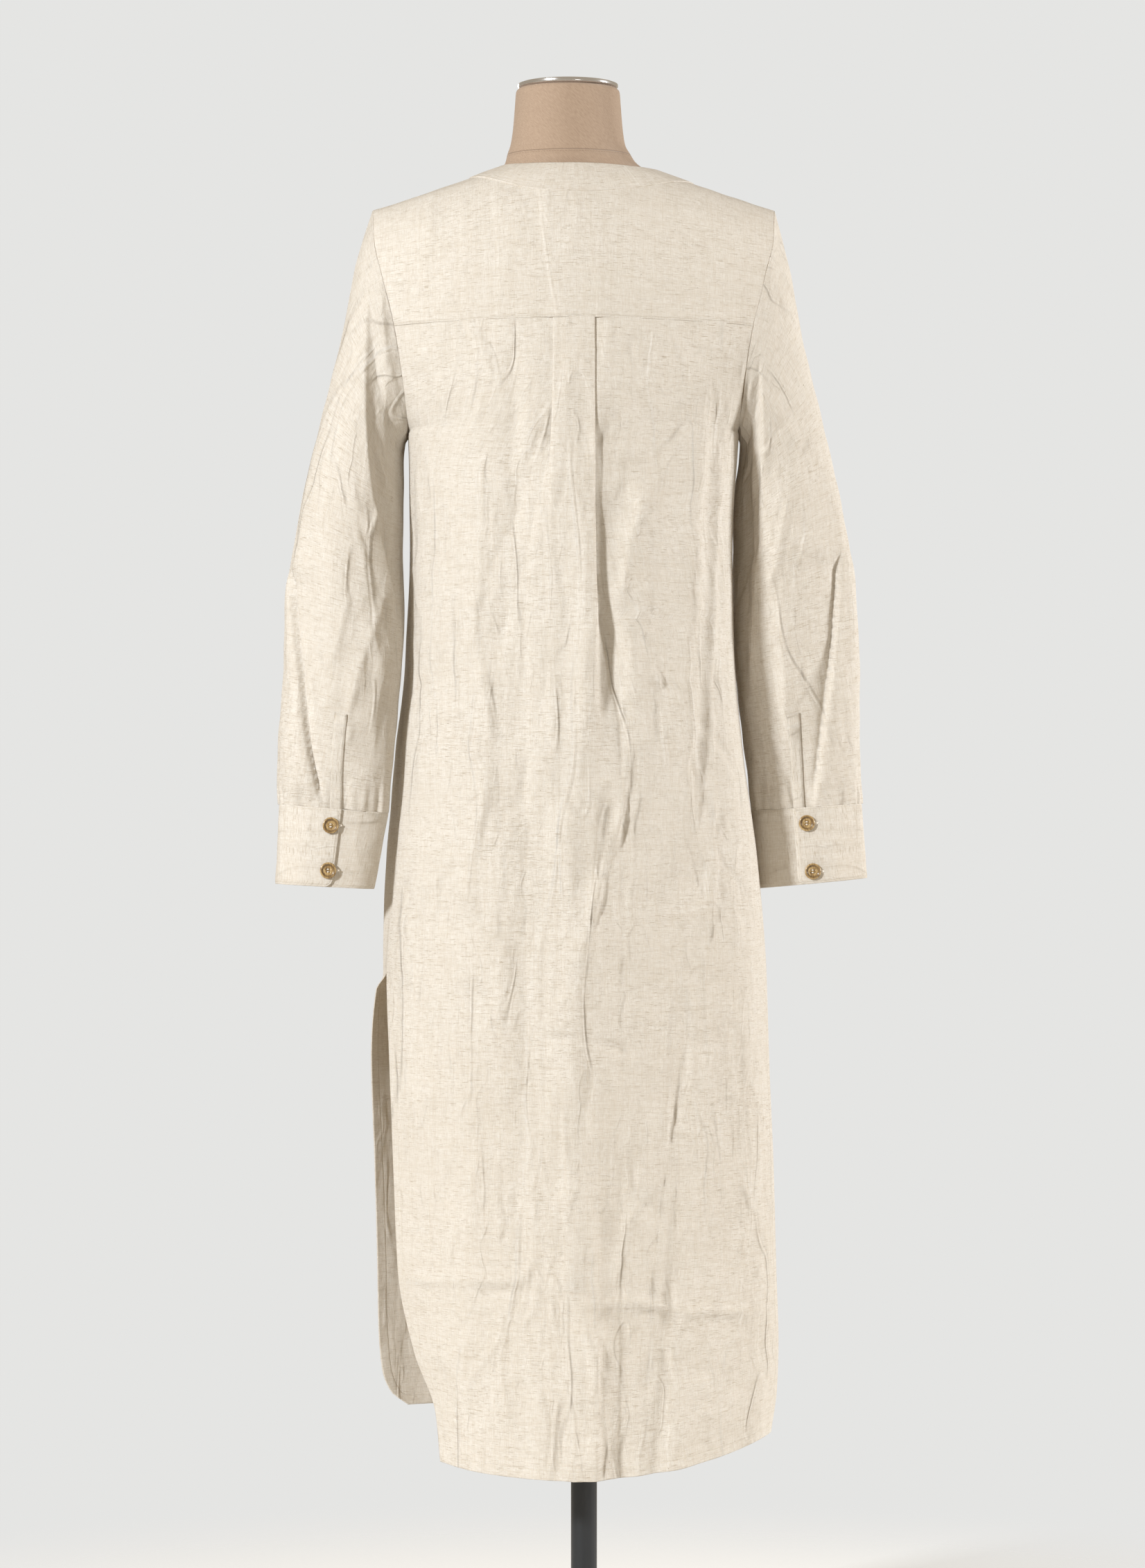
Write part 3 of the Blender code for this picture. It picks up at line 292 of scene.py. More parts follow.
# Broad soft folds: top x and z, foot x and z from the centre line, half width, height outwards
# columns: x_top, z_top, x_foot, z_foot, width, out
BACK_FOLDS = (
    (0.010, 1.180, 0.012, 0.860, 0.012, 0.0040),
    (0.034, 1.230, 0.036, 0.880, 0.016, -0.0035),
    (0.118, 1.300, 0.096, 0.760, 0.014, 0.0040),
    (0.139, 1.300, 0.117, 0.760, 0.009, -0.0045),
    (0.117, 0.760, 0.076, 0.215, 0.009, -0.0035),
    (0.138, 0.760, 0.098, 0.215, 0.014, 0.0030),
    (-0.060, 1.250, -0.062, 0.780, 0.020, -0.0040),
    (-0.036, 0.900, -0.040, 0.500, 0.024, -0.0040),
    (0.062, 1.180, 0.060, 0.820, 0.012, 0.0035),
    (0.030, 0.560, 0.044, 0.205, 0.014, -0.0040),
    (0.014, 0.560, 0.018, 0.205, 0.016, 0.0035),
    (-0.105, 0.620, -0.100, 0.205, 0.020, 0.0030),
)

# Half of the box pleat, from the panel in to the centre: distance and level when sewn shut, then when hanging open
# columns: x_shut, level_shut, x_open, level_open
PLEAT = (
    (0.0300, 0.0000, 0.064, 0.0000),
    (0.0210, -0.0012, 0.054, -0.0018),
    (0.0060, -0.0016, 0.046, -0.0036),
    (0.0044, -0.0008, 0.042, -0.0018),
    (0.0060, 0.0000, 0.038, -0.0006),
    (0.0178, 0.0000, 0.028, 0.0006),
    (0.0194, 0.0008, 0.024, 0.0018),
    (0.0178, 0.0016, 0.020, 0.0036),
    (0.0090, 0.0017, 0.010, 0.0040),
)
PLEAT_X = 0.0003
PLEAT_LOFT = 1.4
PLEAT_STANDS = (0.40, 0.85)  # share of those levels on the left and on the right
PLEAT_MIDDLE_Z, PLEAT_MIDDLE = (0.9, 1.28), (0.0042, 0.0018)  # heights, and levels of the centre line there
BACK_SIDE_SHARES = (0, 0.006)  # the columns next to the pleat, as shares of the way out to the side
PLEAT_TOP_Z = (1.285, 1.140)
PLEAT_FOOT_Z = (1.060, 0.900)

# Creases as they show from behind, in mm from the pole and above the floor: the line's places (x, z) from start to
# end, then the reach of its bell curve on its left and right as seen on the way down, and its height in CREASE_UNITs
# columns: line, left, right, height
BACK_CREASES = (
    ((42, 1306, 48, 1265, 46, 1221), 8, 8, -1.84),
    ((56, 1263, 68, 1234, 79, 1229), 4, 4, 1.15),
    ((89, 1246, 86, 1229, 94, 1211, 92, 1187), 4.2, 3, 1.49),
    ((57, 1172, 56, 1140, 48, 1111, 42, 1073, 37, 1054, 46, 1038), 7.6, 3, 3.68),
    ((50, 1059, 60, 1050, 62, 1035), 3, 3, 1.38),
    ((56, 1027, 62, 1015, 68, 992, 70, 958), 6, 3, 2.76),
    ((79, 1103, 77, 1091, 75, 1079), 4, 4, 1.38),
    ((132, 1283, 131, 1172, 127, 1098, 124, 1024, 122, 958, 124, 806, 116, 704, 105, 620), 8.5, 3, 2.53),
    ((102, 645, 90, 551, 76, 465, 68, 392, 67, 349, 61, 277, 56, 191), 7, 3, -2.8),
    ((-68, 1311, -67, 1191, -70, 1071), 11, 11, -2.53),
    ((-79, 1172, -78, 1147, -69, 1123), 4, 4, 1.15),
    ((-94, 1061, -106, 1034, -104, 1007, -98, 975), 5.1, 3, 1.84),
    ((-100, 985, -93, 951, -90, 926, -81, 908), 6.8, 3, 2.76),
    ((-96, 901, -96, 855, -103, 816, -112, 768, -104, 750, -94, 729), 6.8, 3.8, 2.99),
    ((-127, 954, -128, 945, -129, 936), 3.4, 2.2, 1.15),
    ((-121, 809, -134, 791, -145, 765), 5.1, 3.8, 1.61),
    ((39, 901, 40, 877, 36, 842, 26, 806, 13, 765, 2, 709, -7, 673), 7.6, 3, 4.14),
    ((2, 873, 4, 861, 0, 850), 3, 3, 1.15),
    ((28, 873, 16, 867, 13, 855), 3, 2.2, 1.38),
    ((41, 965, 38, 945, 34, 925), 4.2, 3, 1.61),
    ((67, 985, 70, 965, 78, 944, 81, 908), 6, 3.8, 1.84),
    ((94, 781, 95, 755, 95, 729), 5.1, 3.8, 1.38),
    ((134, 666, 142, 650, 151, 635), 4.2, 3, 1.38),
    ((-54, 625, 0, 623, 26, 618, 50, 611, 56, 617), 2.5, 4, -2.0),
    ((-178, 407, -167, 393, -115, 391, -40, 392), 2.4, 6, 2.8),
    ((-109, 375, -78, 381, -31, 382), 3, 3, -1.5),
    ((-14, 369, 38, 369, 67, 367, 93, 362, 151, 361, 186, 369), 2.6, 5, 2.3),
    ((164, 389, 177, 381, 186, 367), 4, 4, 1.38),
    ((-17, 517, -17, 476, -12, 436, -10, 407, -10, 387, -17, 372, -26, 363), 5.1, 3, 2.53),
    ((-31, 372, -30, 361, -28, 349), 3, 3, 1.15),
    ((9, 439, 8, 425, 8, 410), 4, 4, 1.38),
    ((-86, 476, -80, 451, -83, 425), 3.4, 2.2, 1.38),
    ((-68, 468, -66, 445, -70, 419), 3, 2.2, 1.15),
    ((157, 447, 151, 433, 145, 419), 4, 4, 1.26),
    ((110, 300, 115, 290, 119, 280), 4, 4, 1.15),
    ((12, 361, 12, 306, 13, 265, 12, 185), 8.5, 2.6, 3.22),
    ((-144, 638, -147, 458, -150, 279), 7.6, 5.2, 1.84),
    ((-14, 1295, -15, 1263, -7, 1251, -11, 1241), 3, 3, 1.03),
    ((8, 1295, 3, 1278, -2, 1263), 3, 3, 0.92),
    ((9, 1261, 11, 1147, 13, 1049, 8, 999, 7, 954, 4, 898), 6.8, 2.2, 2.99),
)


def smooth(knots, values, at):
    """Monotone cubic curve through the values, so that a table's rows join without overshoot."""
    knots = np.asarray(knots, float)
    values = np.asarray(values, float).reshape(len(knots), -1)
    gap = np.diff(knots)[:, None]
    rise = np.diff(values, axis=0) / gap
    slope = np.vstack([rise[:1], np.zeros_like(rise[1:]), rise[-1:]])
    before, after = rise[:-1], rise[1:]
    same = before * after > 0
    near, far = 2 * gap[1:] + gap[:-1], gap[1:] + 2 * gap[:-1]
    mean = (near + far) / (near / np.where(same, before, 1) + far / np.where(same, after, 1))
    slope[1:-1] = np.where(same, mean, 0)
    at = np.clip(np.asarray(at, float), knots[0], knots[-1])
    i = np.clip(np.searchsorted(knots, at, side="right") - 1, 0, len(knots) - 2)
    w = (knots[i + 1] - knots[i])[..., None]
    t = ((at - knots[i])[..., None]) / w
    low, high = values[i], values[i + 1]
    start = (2 * t**3 - 3 * t**2 + 1) * low + (t**3 - 2 * t**2 + t) * w * slope[i]
    return start + (3 * t**2 - 2 * t**3) * high + (t**3 - t**2) * w * slope[i + 1]


def step(at, start, end):
    """0 at start, 1 at end, easing in and out."""
    t = np.clip((np.asarray(at, float) - start) / (end - start), 0, 1)
    return t * t * (3 - 2 * t)


def along_the_cloth():
    """Distance of each section from the shoulder line: by centre and edge above the armpit, by height below it."""
    rows = np.array([*BACK_SECTIONS, SHOULDER_SECTION, *FRONT_SECTIONS])
    centre = np.linalg.norm(np.diff(rows[:, :2], axis=0), axis=1)
    edge = np.linalg.norm(np.diff(rows[:, [2, 3, 5]], axis=0), axis=1)
    below = np.maximum(rows[1:, 0], rows[:-1, 0]) < ARMPIT_Z + 1e-6
    knots = np.append(0, np.cumsum(np.where(below, np.abs(np.diff(rows[:, 0])), (centre + edge) / 2)))
    return knots - knots[len(BACK_SECTIONS)], rows


KNOTS, SECTIONS = along_the_cloth()


def place_of(z, side):
    """Distance along the cloth where its centre line is this high, side -1 at the back and +1 in front."""
    chosen = KNOTS * side >= 0
    fine = np.linspace(KNOTS[chosen][0], KNOTS[chosen][-1], 4000)
    return float(fine[np.argmin(np.abs(smooth(KNOTS, SECTIONS[:, :1], fine)[:, 0] - z))])


def slope_shape(share, g):
    """How a section falls from its centre to its edge: level at the centre, and hollow on the shoulder line."""
    even = (np.sqrt(share**2 + 0.0625) - 0.25) / (math.sqrt(1.0625) - 0.25)
    return even ** (1 - SHOULDER_HOLLOW * np.exp(-((g / 0.035) ** 2)))


def unit(vectors):
    """The same directions at length 1."""
    return vectors / np.linalg.norm(vectors, axis=-1, keepdims=True)


def body(s, g):
    """Point of the body's surface: an arc from the left edge, s -1, to the right edge, s 1, at g along it."""
    s, g = np.broadcast_arrays(s, g)
    row = smooth(KNOTS, SECTIONS, g)
    z, y = row[..., 0], row[..., 1]
    reach, y_edge, turn, z_edge = (np.where(s < 0, row[..., 2 + k], row[..., 6 + k]) for k in range(4))
    turn = np.radians(turn)
    angle = np.abs(s) * turn
    share = np.sin(angle) / np.sin(turn)
    depth = y_edge + (y - y_edge) * (np.cos(angle) - np.cos(turn)) / (1 - np.cos(turn))
    fall = np.where(z < 0.6, share**2, slope_shape(share, g))
    return join(CENTRE_X + np.sign(s) * reach * share, depth, z + (z_edge - z) * fall)


def across(x, g):
    """The s of a point at distance x from the centre line, x within the section's reach."""
    x, g = np.broadcast_arrays(x, g)
    row = smooth(KNOTS, SECTIONS, g)
    reach = np.where(x < 0, row[..., 2], row[..., 6])
    turn = np.radians(np.where(x < 0, row[..., 4], row[..., 8]))
    return np.sign(x) * np.arcsin(np.clip(np.abs(x) / reach * np.sin(turn), 0, 1)) / turn


def outwards(s, g):
    """Unit direction out of the body, from the surface's own slopes."""
    d = 1e-4
    along = body(s, g + d) - body(s, g - d)
    over = body(np.minimum(s + d, 1), g) - body(np.maximum(s - d, -1), g)
    return unit(np.cross(over, along))


def fold_height(points, folds):
    """Sum of the broad folds at these points: each a ridge or trough of bell shape that fades at both ends."""
    x, z = points[..., 0] - CENTRE_X, points[..., 2]
    total = np.zeros(x.shape)
    for x_top, z_top, x_foot, z_foot, width, out in folds:
        share = (z_top - z) / (z_top - z_foot)
        line = x_top + (x_foot - x_top) * np.clip(share, 0, 1)
        fade = step(share, -0.02, 0.22) * (1 if z_foot < 0.3 else 1 - step(share, 0.78, 1.02))
        total += out * np.exp(-(((x - line) / width) ** 2)) * fade
    return total


def uneven(x, z, size, turn=0.0):
    """Slow unevenness between -1 and 1: five crossing sine waves whose lengths and directions share no rhythm."""
    total = np.zeros(np.shape(x))
    for k in range(5):
        angle = turn + 2.4 * k
        wave = (x * math.cos(angle) + z * math.sin(angle)) * (1 + 0.37 * k) * 2 * math.pi / size
        total += np.sin(wave + 1.7 * k + turn) / 5
    return total


def crease_height(x, z, row):
    """Height of one crease: a peaked curve on each side of a smooth line, uneven along it, faded at both ends."""
    line, left, right, height = row
    knots = np.arange(len(line) // 2)
    path = smooth(knots, np.reshape(line, (-1, 2)), np.linspace(0, knots[-1], 8 * knots[-1] + 1))
    start, run = path[:-1], np.diff(path, axis=0)
    length = np.linalg.norm(run, axis=1)
    done = np.append(0, np.cumsum(length))
    reach = 2.6 * max(left, right)
    low, high = path.min(axis=0) - reach, path.max(axis=0) + reach
    near = (x > low[0]) & (x < high[0]) & (z > low[1]) & (z < high[1])
    away = join(x[near], z[near])[:, None] - start
    share = np.clip((away * run).sum(axis=-1) / length**2, 0, 1)
    gap = np.linalg.norm(away - share[..., None] * run, axis=-1)
    pick = np.arange(len(gap)), gap.argmin(axis=1)
    at = done[pick[1]] + share[pick] * length[pick[1]]
    side = run[pick[1], 0] * away[pick][:, 1] - run[pick[1], 1] * away[pick][:, 0]
    phase = line[0] * 0.7 + line[1]
    wide = np.where(side > 0, right, left) * (1 + 0.22 * np.sin(at / 9 + phase))
    fade = step(at, 0, 0.22 * done[-1]) * step(at, done[-1], 0.78 * done[-1])
    total = np.zeros(x.shape)
    total[near] = height * (1 + 0.25 * np.sin(at / 13 + 2 * phase)) * fade * np.exp(-((gap[pick] / wide) ** 1.35))
    return total


def as_seen(points):
    """Where points show to the camera, in mm from the pole and above the floor at the pole's distance."""
    near = -CAMERA_PLACE[1] / (points[..., 1] - CAMERA_PLACE[1])
    x = CAMERA_PLACE[0] + (points[..., 0] - CAMERA_PLACE[0]) * near
    z = CAMERA_PLACE[2] + (points[..., 2] - CAMERA_PLACE[2]) * near
    return 1000 * x, 1000 * z


def crumple(points, out, creases, facing):
    """Height in metres of all the creases on the cloth that faces backwards, -1, or forwards, 1."""
    x, z = as_seen(points)
    total = sum(crease_height(x, z, row) for row in creases)
    return CREASE_UNIT * total * step(facing * out[..., 1], 0.08, 0.4)


def small_creases(seed, count, across_field, up_field, tall=1.0):
    """Rows of short creases scattered over a field in mm: most stand upright and bend a little."""
    dice = np.random.default_rng(seed)
    x, z, size = dice.uniform(*across_field, count), dice.uniform(*up_field, count), dice.uniform(40, 150, count)
    lean, bend = dice.normal(0, 0.26, count), dice.normal(0, 0.08, count) * size
    dx, dz = size * np.sin(lean) / 2, size * np.cos(lean) / 2
    lines = np.stack([x - dx, z + dz, x + bend, z, x + dx, z - dz], axis=1)
    steep, soft = dice.uniform(2.2, 3.6, count), dice.uniform(4, 9, count)
    turned = dice.random(count) < 0.5
    left, right = np.where(turned, steep, soft), np.where(turned, soft, steep)
    height = tall * dice.uniform(0.35, 1.25, count) * np.where(dice.random(count) < 0.35, -1, 1)
    return [(tuple(line), *row) for line, row in zip(lines, np.stack([left, right, height], axis=1).tolist())]


def run_across(points):
    """Distance along each row of points from its middle point."""
    gone = np.cumsum(np.linalg.norm(np.diff(points, axis=1), axis=-1), axis=1)
    gone = np.concatenate([np.zeros((len(points), 1)), gone], axis=1)
    return gone - gone[:, points.shape[1] // 2, None]


def grid_faces(rows, columns, closed=False):
    """Quads of a grid of points, row by row, and for each face corner its place in a chart one column wider."""
    r, c = np.meshgrid(np.arange(rows - 1), np.arange(columns if closed else columns - 1), indexing="ij")
    ahead = (c + 1) % columns
    faces = join(r * columns + c, r * columns + ahead, (r + 1) * columns + ahead, (r + 1) * columns + c)
    wide = columns + closed
    corners = join(r * wide + c, r * wide + c + 1, (r + 1) * wide + c + 1, (r + 1) * wide + c)
    return faces.reshape(-1, 4).tolist(), corners.ravel()


def cloth(name, points, weave, stitch, stands_for, wall=CLOTH, closed=False):
    """A wall of linen round a grid, with the weave's chart and the chart of the nearest row of stitches."""
    faces, corners = grid_faces(*points.shape[:2], closed)
    charts = {"weave": np.reshape(weave, (-1, 2))[corners], "stitch": np.reshape(stitch, (-1, 2))[corners]}
    return piece(name, points, faces, linen, [stands_for], charts, wall, "linen")


def hem_charts(points, along, from_hem, shift=0.0):
    """The weave's chart and the stitches' chart, along the hem and, below the slits' tops, along both sides."""
    gone = run_across(points)
    from_side = np.minimum(gone - gone[:, :1], gone[:, -1:] - gone)
    from_side = np.where(points[..., 2] < SLIT_Z, from_side, NO_STITCH)
    inset = np.minimum(from_hem, from_side) - HEM_STITCH
    return join(gone + shift, along), join(np.where(from_hem < from_side, gone, along), inset)


def with_edges(count, start, end, edge=0.0009):
    """Even places from start to end, with one more row close to each end that keeps the edge crisp."""
    places = np.linspace(start, end, count)
    toward = math.copysign(edge, end - start)
    return np.concatenate([[start, start + toward], places[1:-1], [end - toward, end]])


# Slubbed linen: warm white, faintly streaked along both threads, with a few thin grey-brown slubs along the weft
# and dark specks, and crumpled in soft upright ridges. Stitches are dashes where the stitch chart's second part is
# 0, in a groove darkened a little with painted shade. The weave chart keeps the pieces apart; the yoke and the band,
# from 5 to 11 on it, lie smoother than the rest.
SHADE, SPECK = (0.640, 0.575, 0.475, 1), (0.210, 0.160, 0.100, 1)
LONG_SLUB, SHORT_SLUB = (0.430, 0.355, 0.255, 1), (0.400, 0.330, 0.235, 1)
THREAD, STITCH_LENGTH, LIGHT_THROUGH = (0.900, 0.850, 0.750, 1), 0.0014, 0.27
# Veins of creases: cells along both threads to a metre, shift, half width of the line, height
VEINS = ((15, 3.4, 0.5, 0.024, 1.5), (30, 7, 4.5, 0.034, 0.9), (62, 22, 8.5, 0.060, 0.40))

linen = Finish("slubbed_linen", {"Roughness": 0.88, "Sheen Weight": 0.06, "Specular IOR Level": 0.25})
u, v = linen.chart("weave")
warp = linen.noise(u * 1900, v * 170, 2.2, detail=0.0)
weft = linen.noise(u * 170, v * 1900, 6.2, detail=0.0)
thin = linen.noise(u * 1150, v * 26, 4.4)
thick = linen.noise(u * 34, v * 1050, 3.3)
patch = linen.noise(u * 9, v * 14, 7.7)
long_slub = linen.between(linen.noise(u * 105, v * 1700, 1.3) + 0.12 * patch, 0.700, 0.77)
short_slub = linen.between(linen.noise(u * 260, v * 2100, 5.1) + 0.10 * patch, 0.730, 0.79)
speck = linen.between(linen.noise(u * 520, v * 520, 9.4), 0.785, 0.82)
tone = linen.mix(linen.between(patch, 0.3, 0.7), (0.818, 0.792, 0.738, 1), (0.852, 0.829, 0.779, 1))
tone = linen.mix(0.34 * linen.between(thick, 0.40, 0.72), tone, SHADE)
tone = linen.mix(0.30 * linen.between(thin, 0.42, 0.74), tone, SHADE)
tone = linen.mix(0.40 * linen.between(0.5 * warp + 0.5 * weft, 0.40, 0.62), tone, (0.600, 0.540, 0.450, 1))
tone = linen.mix(0.56 * long_slub, tone, LONG_SLUB)
tone = linen.mix(0.58 * short_slub, tone, SHORT_SLUB)
tone = linen.mix(0.70 * speck, tone, SPECK)
run, inset = linen.chart("stitch")
beside = abs(inset)
groove_with_painted_shade = 1 - linen.between(beside, 0.0002, 0.0010)
beat = run.to_and_fro(STITCH_LENGTH)
thread = (1 - linen.between(beside, 0.00018, 0.00034)) * linen.between(beat, 0.0002, 0.0004)
# painted shade: the groove beside each row of stitches is darkened a little, as shade in the recess
tone = linen.mix(0.10 * groove_with_painted_shade, tone, (0.560, 0.480, 0.370, 1))
tone = linen.mix(0.75 * thread, tone, THREAD)
creased = 0.0
for x, y, shift, narrow, rise in VEINS:
    bent = linen.noise(u * x, v * y, shift, detail=0.7) - 0.5
    line = 1 - linen.between(abs(bent), 0.0, narrow)
    side = linen.between(bent, -2 * narrow, 2 * narrow)
    where = linen.between(linen.noise(u * x * 0.8 + 3.0, v * y, shift + 2.0), 0.43, 0.60)
    creased = creased + rise * where * (0.8 * line + 1.7 * side)
dents = linen.noise(u * 50, v * 22, 8.8, detail=2.0, rough=0.5)
cockle = linen.noise(u * 420, v * 240, 3.9, detail=1.0)
firm = linen.between(u, 5.0, 5.5) * (1 - linen.between(u, 11.0, 11.2))
crumpled = (creased + 1.6 * dents) * (1 - 0.72 * firm) + 0.14 * cockle
relief = 0.09 * warp + 0.09 * weft + 0.10 * thick + 0.06 * long_slub + 0.06 * short_slub + crumpled
relief = relief + 0.10 * thread - 0.16 * groove_with_painted_shade - 0.30 * linen.between(inset, -0.0003, 0.0005)
linen.set({"Base Color": tone})
linen.bump(relief, 0.001)
through = linen.node("ShaderNodeBsdfTranslucent", {}, {"Color": (0.88, 0.77, 0.60, 1)})
off = Signal(linen, linen.shader.outputs[0])
lit = linen.node("ShaderNodeMixShader", {}, {0: LIGHT_THROUGH, 1: off, 2: through})
linen.feed(linen.tree.nodes["Material Output"].inputs["Surface"], lit)

g = with_edges(BACK_ROWS, place_of(YOKE_Z, -1) + BACK_SEAM, KNOTS[0])[::-1]
height = body(0, g)[:, 2]
fine = smooth(np.arange(len(PLEAT)), PLEAT, np.linspace(0, len(PLEAT) - 1, PLEAT_POINTS))
halves = []
for side, foot, top, stands in zip((-1, 1), PLEAT_FOOT_Z, PLEAT_TOP_Z, PLEAT_STANDS):
    opened = (1 - step(height, foot, top))[:, None]
    x = PLEAT_X * (1 - opened) + side * (fine[:, 0] + (fine[:, 2] - fine[:, 0]) * opened)
    level = (fine[:, 1] + (fine[:, 3] - fine[:, 1]) * opened) * (1 + PLEAT_LOFT * 4 * opened * (1 - opened))
    level = level * stands * (1 - 0.6 * step(height, 0.93, 0.62))[:, None]
    s = across(x, g[:, None])
    outer = np.append(BACK_SIDE_SHARES, np.linspace(0, 1, BACK_SIDE_COLUMNS + 1)[1:-1])
    outer_s = side * SIDE_END + (s[:, :1] - side * SIDE_END) * outer
    halves.append((np.concatenate([outer_s, s], axis=1), np.concatenate([0 * outer_s, level], axis=1)))
middle = across(np.full_like(g, PLEAT_X), g)[:, None]
middle_level = np.interp(height, PLEAT_MIDDLE_Z, PLEAT_MIDDLE)[:, None]
s = np.concatenate([halves[0][0], middle, halves[1][0][:, ::-1]], axis=1)
level = np.concatenate([halves[0][1], middle_level, halves[1][1][:, ::-1]], axis=1)
along = g[:, None] + 0 * s
points, out = body(s, along), outwards(s, along)
creases = [*BACK_CREASES, *small_creases(11, 130, (-190, 180), (215, 1300), 1.3)]
inwards = 1 - np.abs(s) ** 6
relief = level + (fold_height(points, BACK_FOLDS) + crumple(points, out, creases, -1)) * inwards
relief = relief + 0.0007 * uneven(points[..., 0], points[..., 2], 0.11) * inwards
points = points + out * relief[..., None]
back = cloth("dress_back", points, *hem_charts(points, along, along - KNOTS[0]), "back_panel")


# ----------------------------------------
# Front. One plain length of the same linen that hangs from the yoke's front edges and the neck band, shorter than the
# back, with a turned hem and its own slit edges.
YOKE_FRONT_Z = 1.425
FRONT_SEAM = 0.0006  # how far past the seam line the front goes under the yoke
NECK_HALF = {-1: 0.070, 1: 0.0855}
BAND_WIDTH = 0.030
UNDER_BAND = BAND_WIDTH - 0.001  # how far from the neckline the cloth under the band ends
NECK_BACK_Z = 1.4615
NECK_FRONT_Z = 1.345
FRONT_WEAVE = 3.1
FRONT_ROWS_ABOVE, FRONT_ROWS_BELOW, FRONT_NECK_COLUMNS, FRONT_SIDE_COLUMNS = 52, 210, 42, 24
FRONT_FOLDS = (
    (-0.070, 1.180, -0.100, 0.260, 0.020, 0.0065),
    (-0.030, 1.100, -0.046, 0.260, 0.018, -0.0060),
    (0.020, 1.150, 0.024, 0.260, 0.022, 0.0060),
    (0.070, 1.120, 0.078, 0.260, 0.018, -0.0055),
    (0.105, 1.180, 0.126, 0.260, 0.020, 0.0055),
)
FRONT_CREASES = (
    ((-96, 1260, -84, 1180, -88, 1090), 7, 4, 2.0),
    ((96, 1240, 88, 1150, 94, 1060, 86, 985), 4, 8, 2.2),
    ((-60, 1120, -66, 1040, -58, 960, -64, 880), 8, 4, 2.4),
    ((48, 1090, 54, 1010, 46, 940), 4, 8, 2.2),
    ((-18, 1060, -24, 980, -14, 900, -26, 812), 9, 4, 3.0),
    ((12, 900, 18, 830, 8, 760, 14, 700), 4, 8, 2.6),
    ((-112, 930, -104, 850, -118, 770), 7, 4, 1.8),
    ((112, 860, 104, 780, 116, 700), 4, 7, 1.9),
    ((-130, 640, -122, 540, -134, 430, -126, 300), 9, 5, 2.2),
    ((-52, 690, -60, 590, -48, 480, -58, 360, -54, 240), 4, 9, 2.6),
    ((40, 660, 30, 540, 42, 420, 34, 240), 9, 4, 2.6),
    ((118, 620, 126, 500, 116, 380, 124, 270), 4, 9, 2.2),
    ((-150, 402, -90, 396, -30, 400), 3, 3, 1.1),
    ((20, 384, 80, 388, 150, 380), 3, 3, 1.2),
    ((-80, 612, -20, 606, 44, 612), 2.5, 2.5, -1.0),
    ((-6, 480, -12, 440, -4, 404), 5, 4, 1.5),
    ((70, 470, 76, 440, 68, 410), 4, 4, 1.2),
)


def neck_line(theta, grow, side):
    """Places (x, g) on half of an oval round the neck, theta 0 behind and pi in front, grown by a distance."""
    theta = np.asarray(theta, float)
    back_g, front_g = place_of(NECK_BACK_Z, -1) - grow, place_of(NECK_FRONT_Z, 1) + grow
    reach = np.where(np.cos(theta) > 0, back_g, -front_g)
    return side * (NECK_HALF[side] + grow) * np.sin(theta), reach * np.cos(theta)


def neck_corner(front_g, grow, side):
    """Angle at which the line round the neck meets the yoke's front edge."""
    return math.pi - math.acos(front_g / float(neck_line(math.pi, grow, side)[1]))


def whole(half):
    """Places, points and outward directions of a piece whose halves meet on the centre line."""
    (left_s, left_g), (right_s, right_g) = half(-1), half(1)
    s = np.concatenate([left_s[:, :0:-1], right_s], axis=1)
    along = np.concatenate([left_g[:, :0:-1], right_g], axis=1)
    return s, along, body(s, along), outwards(s, along)


def front_half(side):
    """Half of the front's places (s, g): columns that fan out from the neck line to even ones below."""
    front_g, armpit = place_of(YOKE_FRONT_Z, 1) - FRONT_SEAM, place_of(ARMPIT_Z, 1)
    theta = np.linspace(math.pi, neck_corner(front_g, UNDER_BAND, side), FRONT_NECK_COLUMNS)
    neck_x, neck_g = neck_line(theta, UNDER_BAND, side)
    neck_s = across(neck_x, neck_g)
    neck_s[0] = 0
    reach = side * SIDE_END
    beside = np.linspace(neck_s[-1], reach, FRONT_SIDE_COLUMNS + 1)[1:]
    beside = np.append(beside[:-1], [reach * 0.994, reach])
    top_s = np.concatenate([neck_s, beside])
    top_g = np.concatenate([neck_g, np.full(len(beside), front_g)])
    even_s = np.append(np.linspace(0, reach, len(top_s) - 1)[:-1], [reach * 0.994, reach])
    t = np.linspace(0, 1, FRONT_ROWS_ABOVE)[:-1, None]
    below = with_edges(FRONT_ROWS_BELOW, armpit, KNOTS[-1])[:, None]
    s = np.concatenate([top_s + (even_s - top_s) * t, even_s + 0 * below])
    return s, np.concatenate([top_g + (armpit - top_g) * t, below + 0 * top_g])


s, along, points, out = whole(front_half)
creases = [*FRONT_CREASES, *small_creases(12, 130, (-190, 190), (270, 1400), 1.3)]
relief = fold_height(points, FRONT_FOLDS) + crumple(points, out, creases, 1)
relief = (relief + 0.0008 * uneven(points[..., 0], points[..., 2], 0.12, 1.1)) * (1 - np.abs(s) ** 6)
points = points + out * relief[..., None]
front = cloth("dress_front", points, *hem_charts(points, along, KNOTS[-1] - along, FRONT_WEAVE), "front_panel")


# ----------------------------------------
# Yoke. One layer of linen from the back seam up over both shoulders to its front edges, laid over the panels' raw
# edges and topstitched close to each seam.
YOKE_SEAM = 0.0008  # how far past both seam lines the yoke goes over the panels
YOKE_STITCH = 0.0022
YOKE_WEAVE = 6.2
YOKE_CORNER = math.radians(52)  # angle on the neck line whose line runs to the seam's end at the armhole
YOKE_COLUMNS_BACK, YOKE_COLUMNS_ARM, YOKE_ROWS = 64, 60, 66


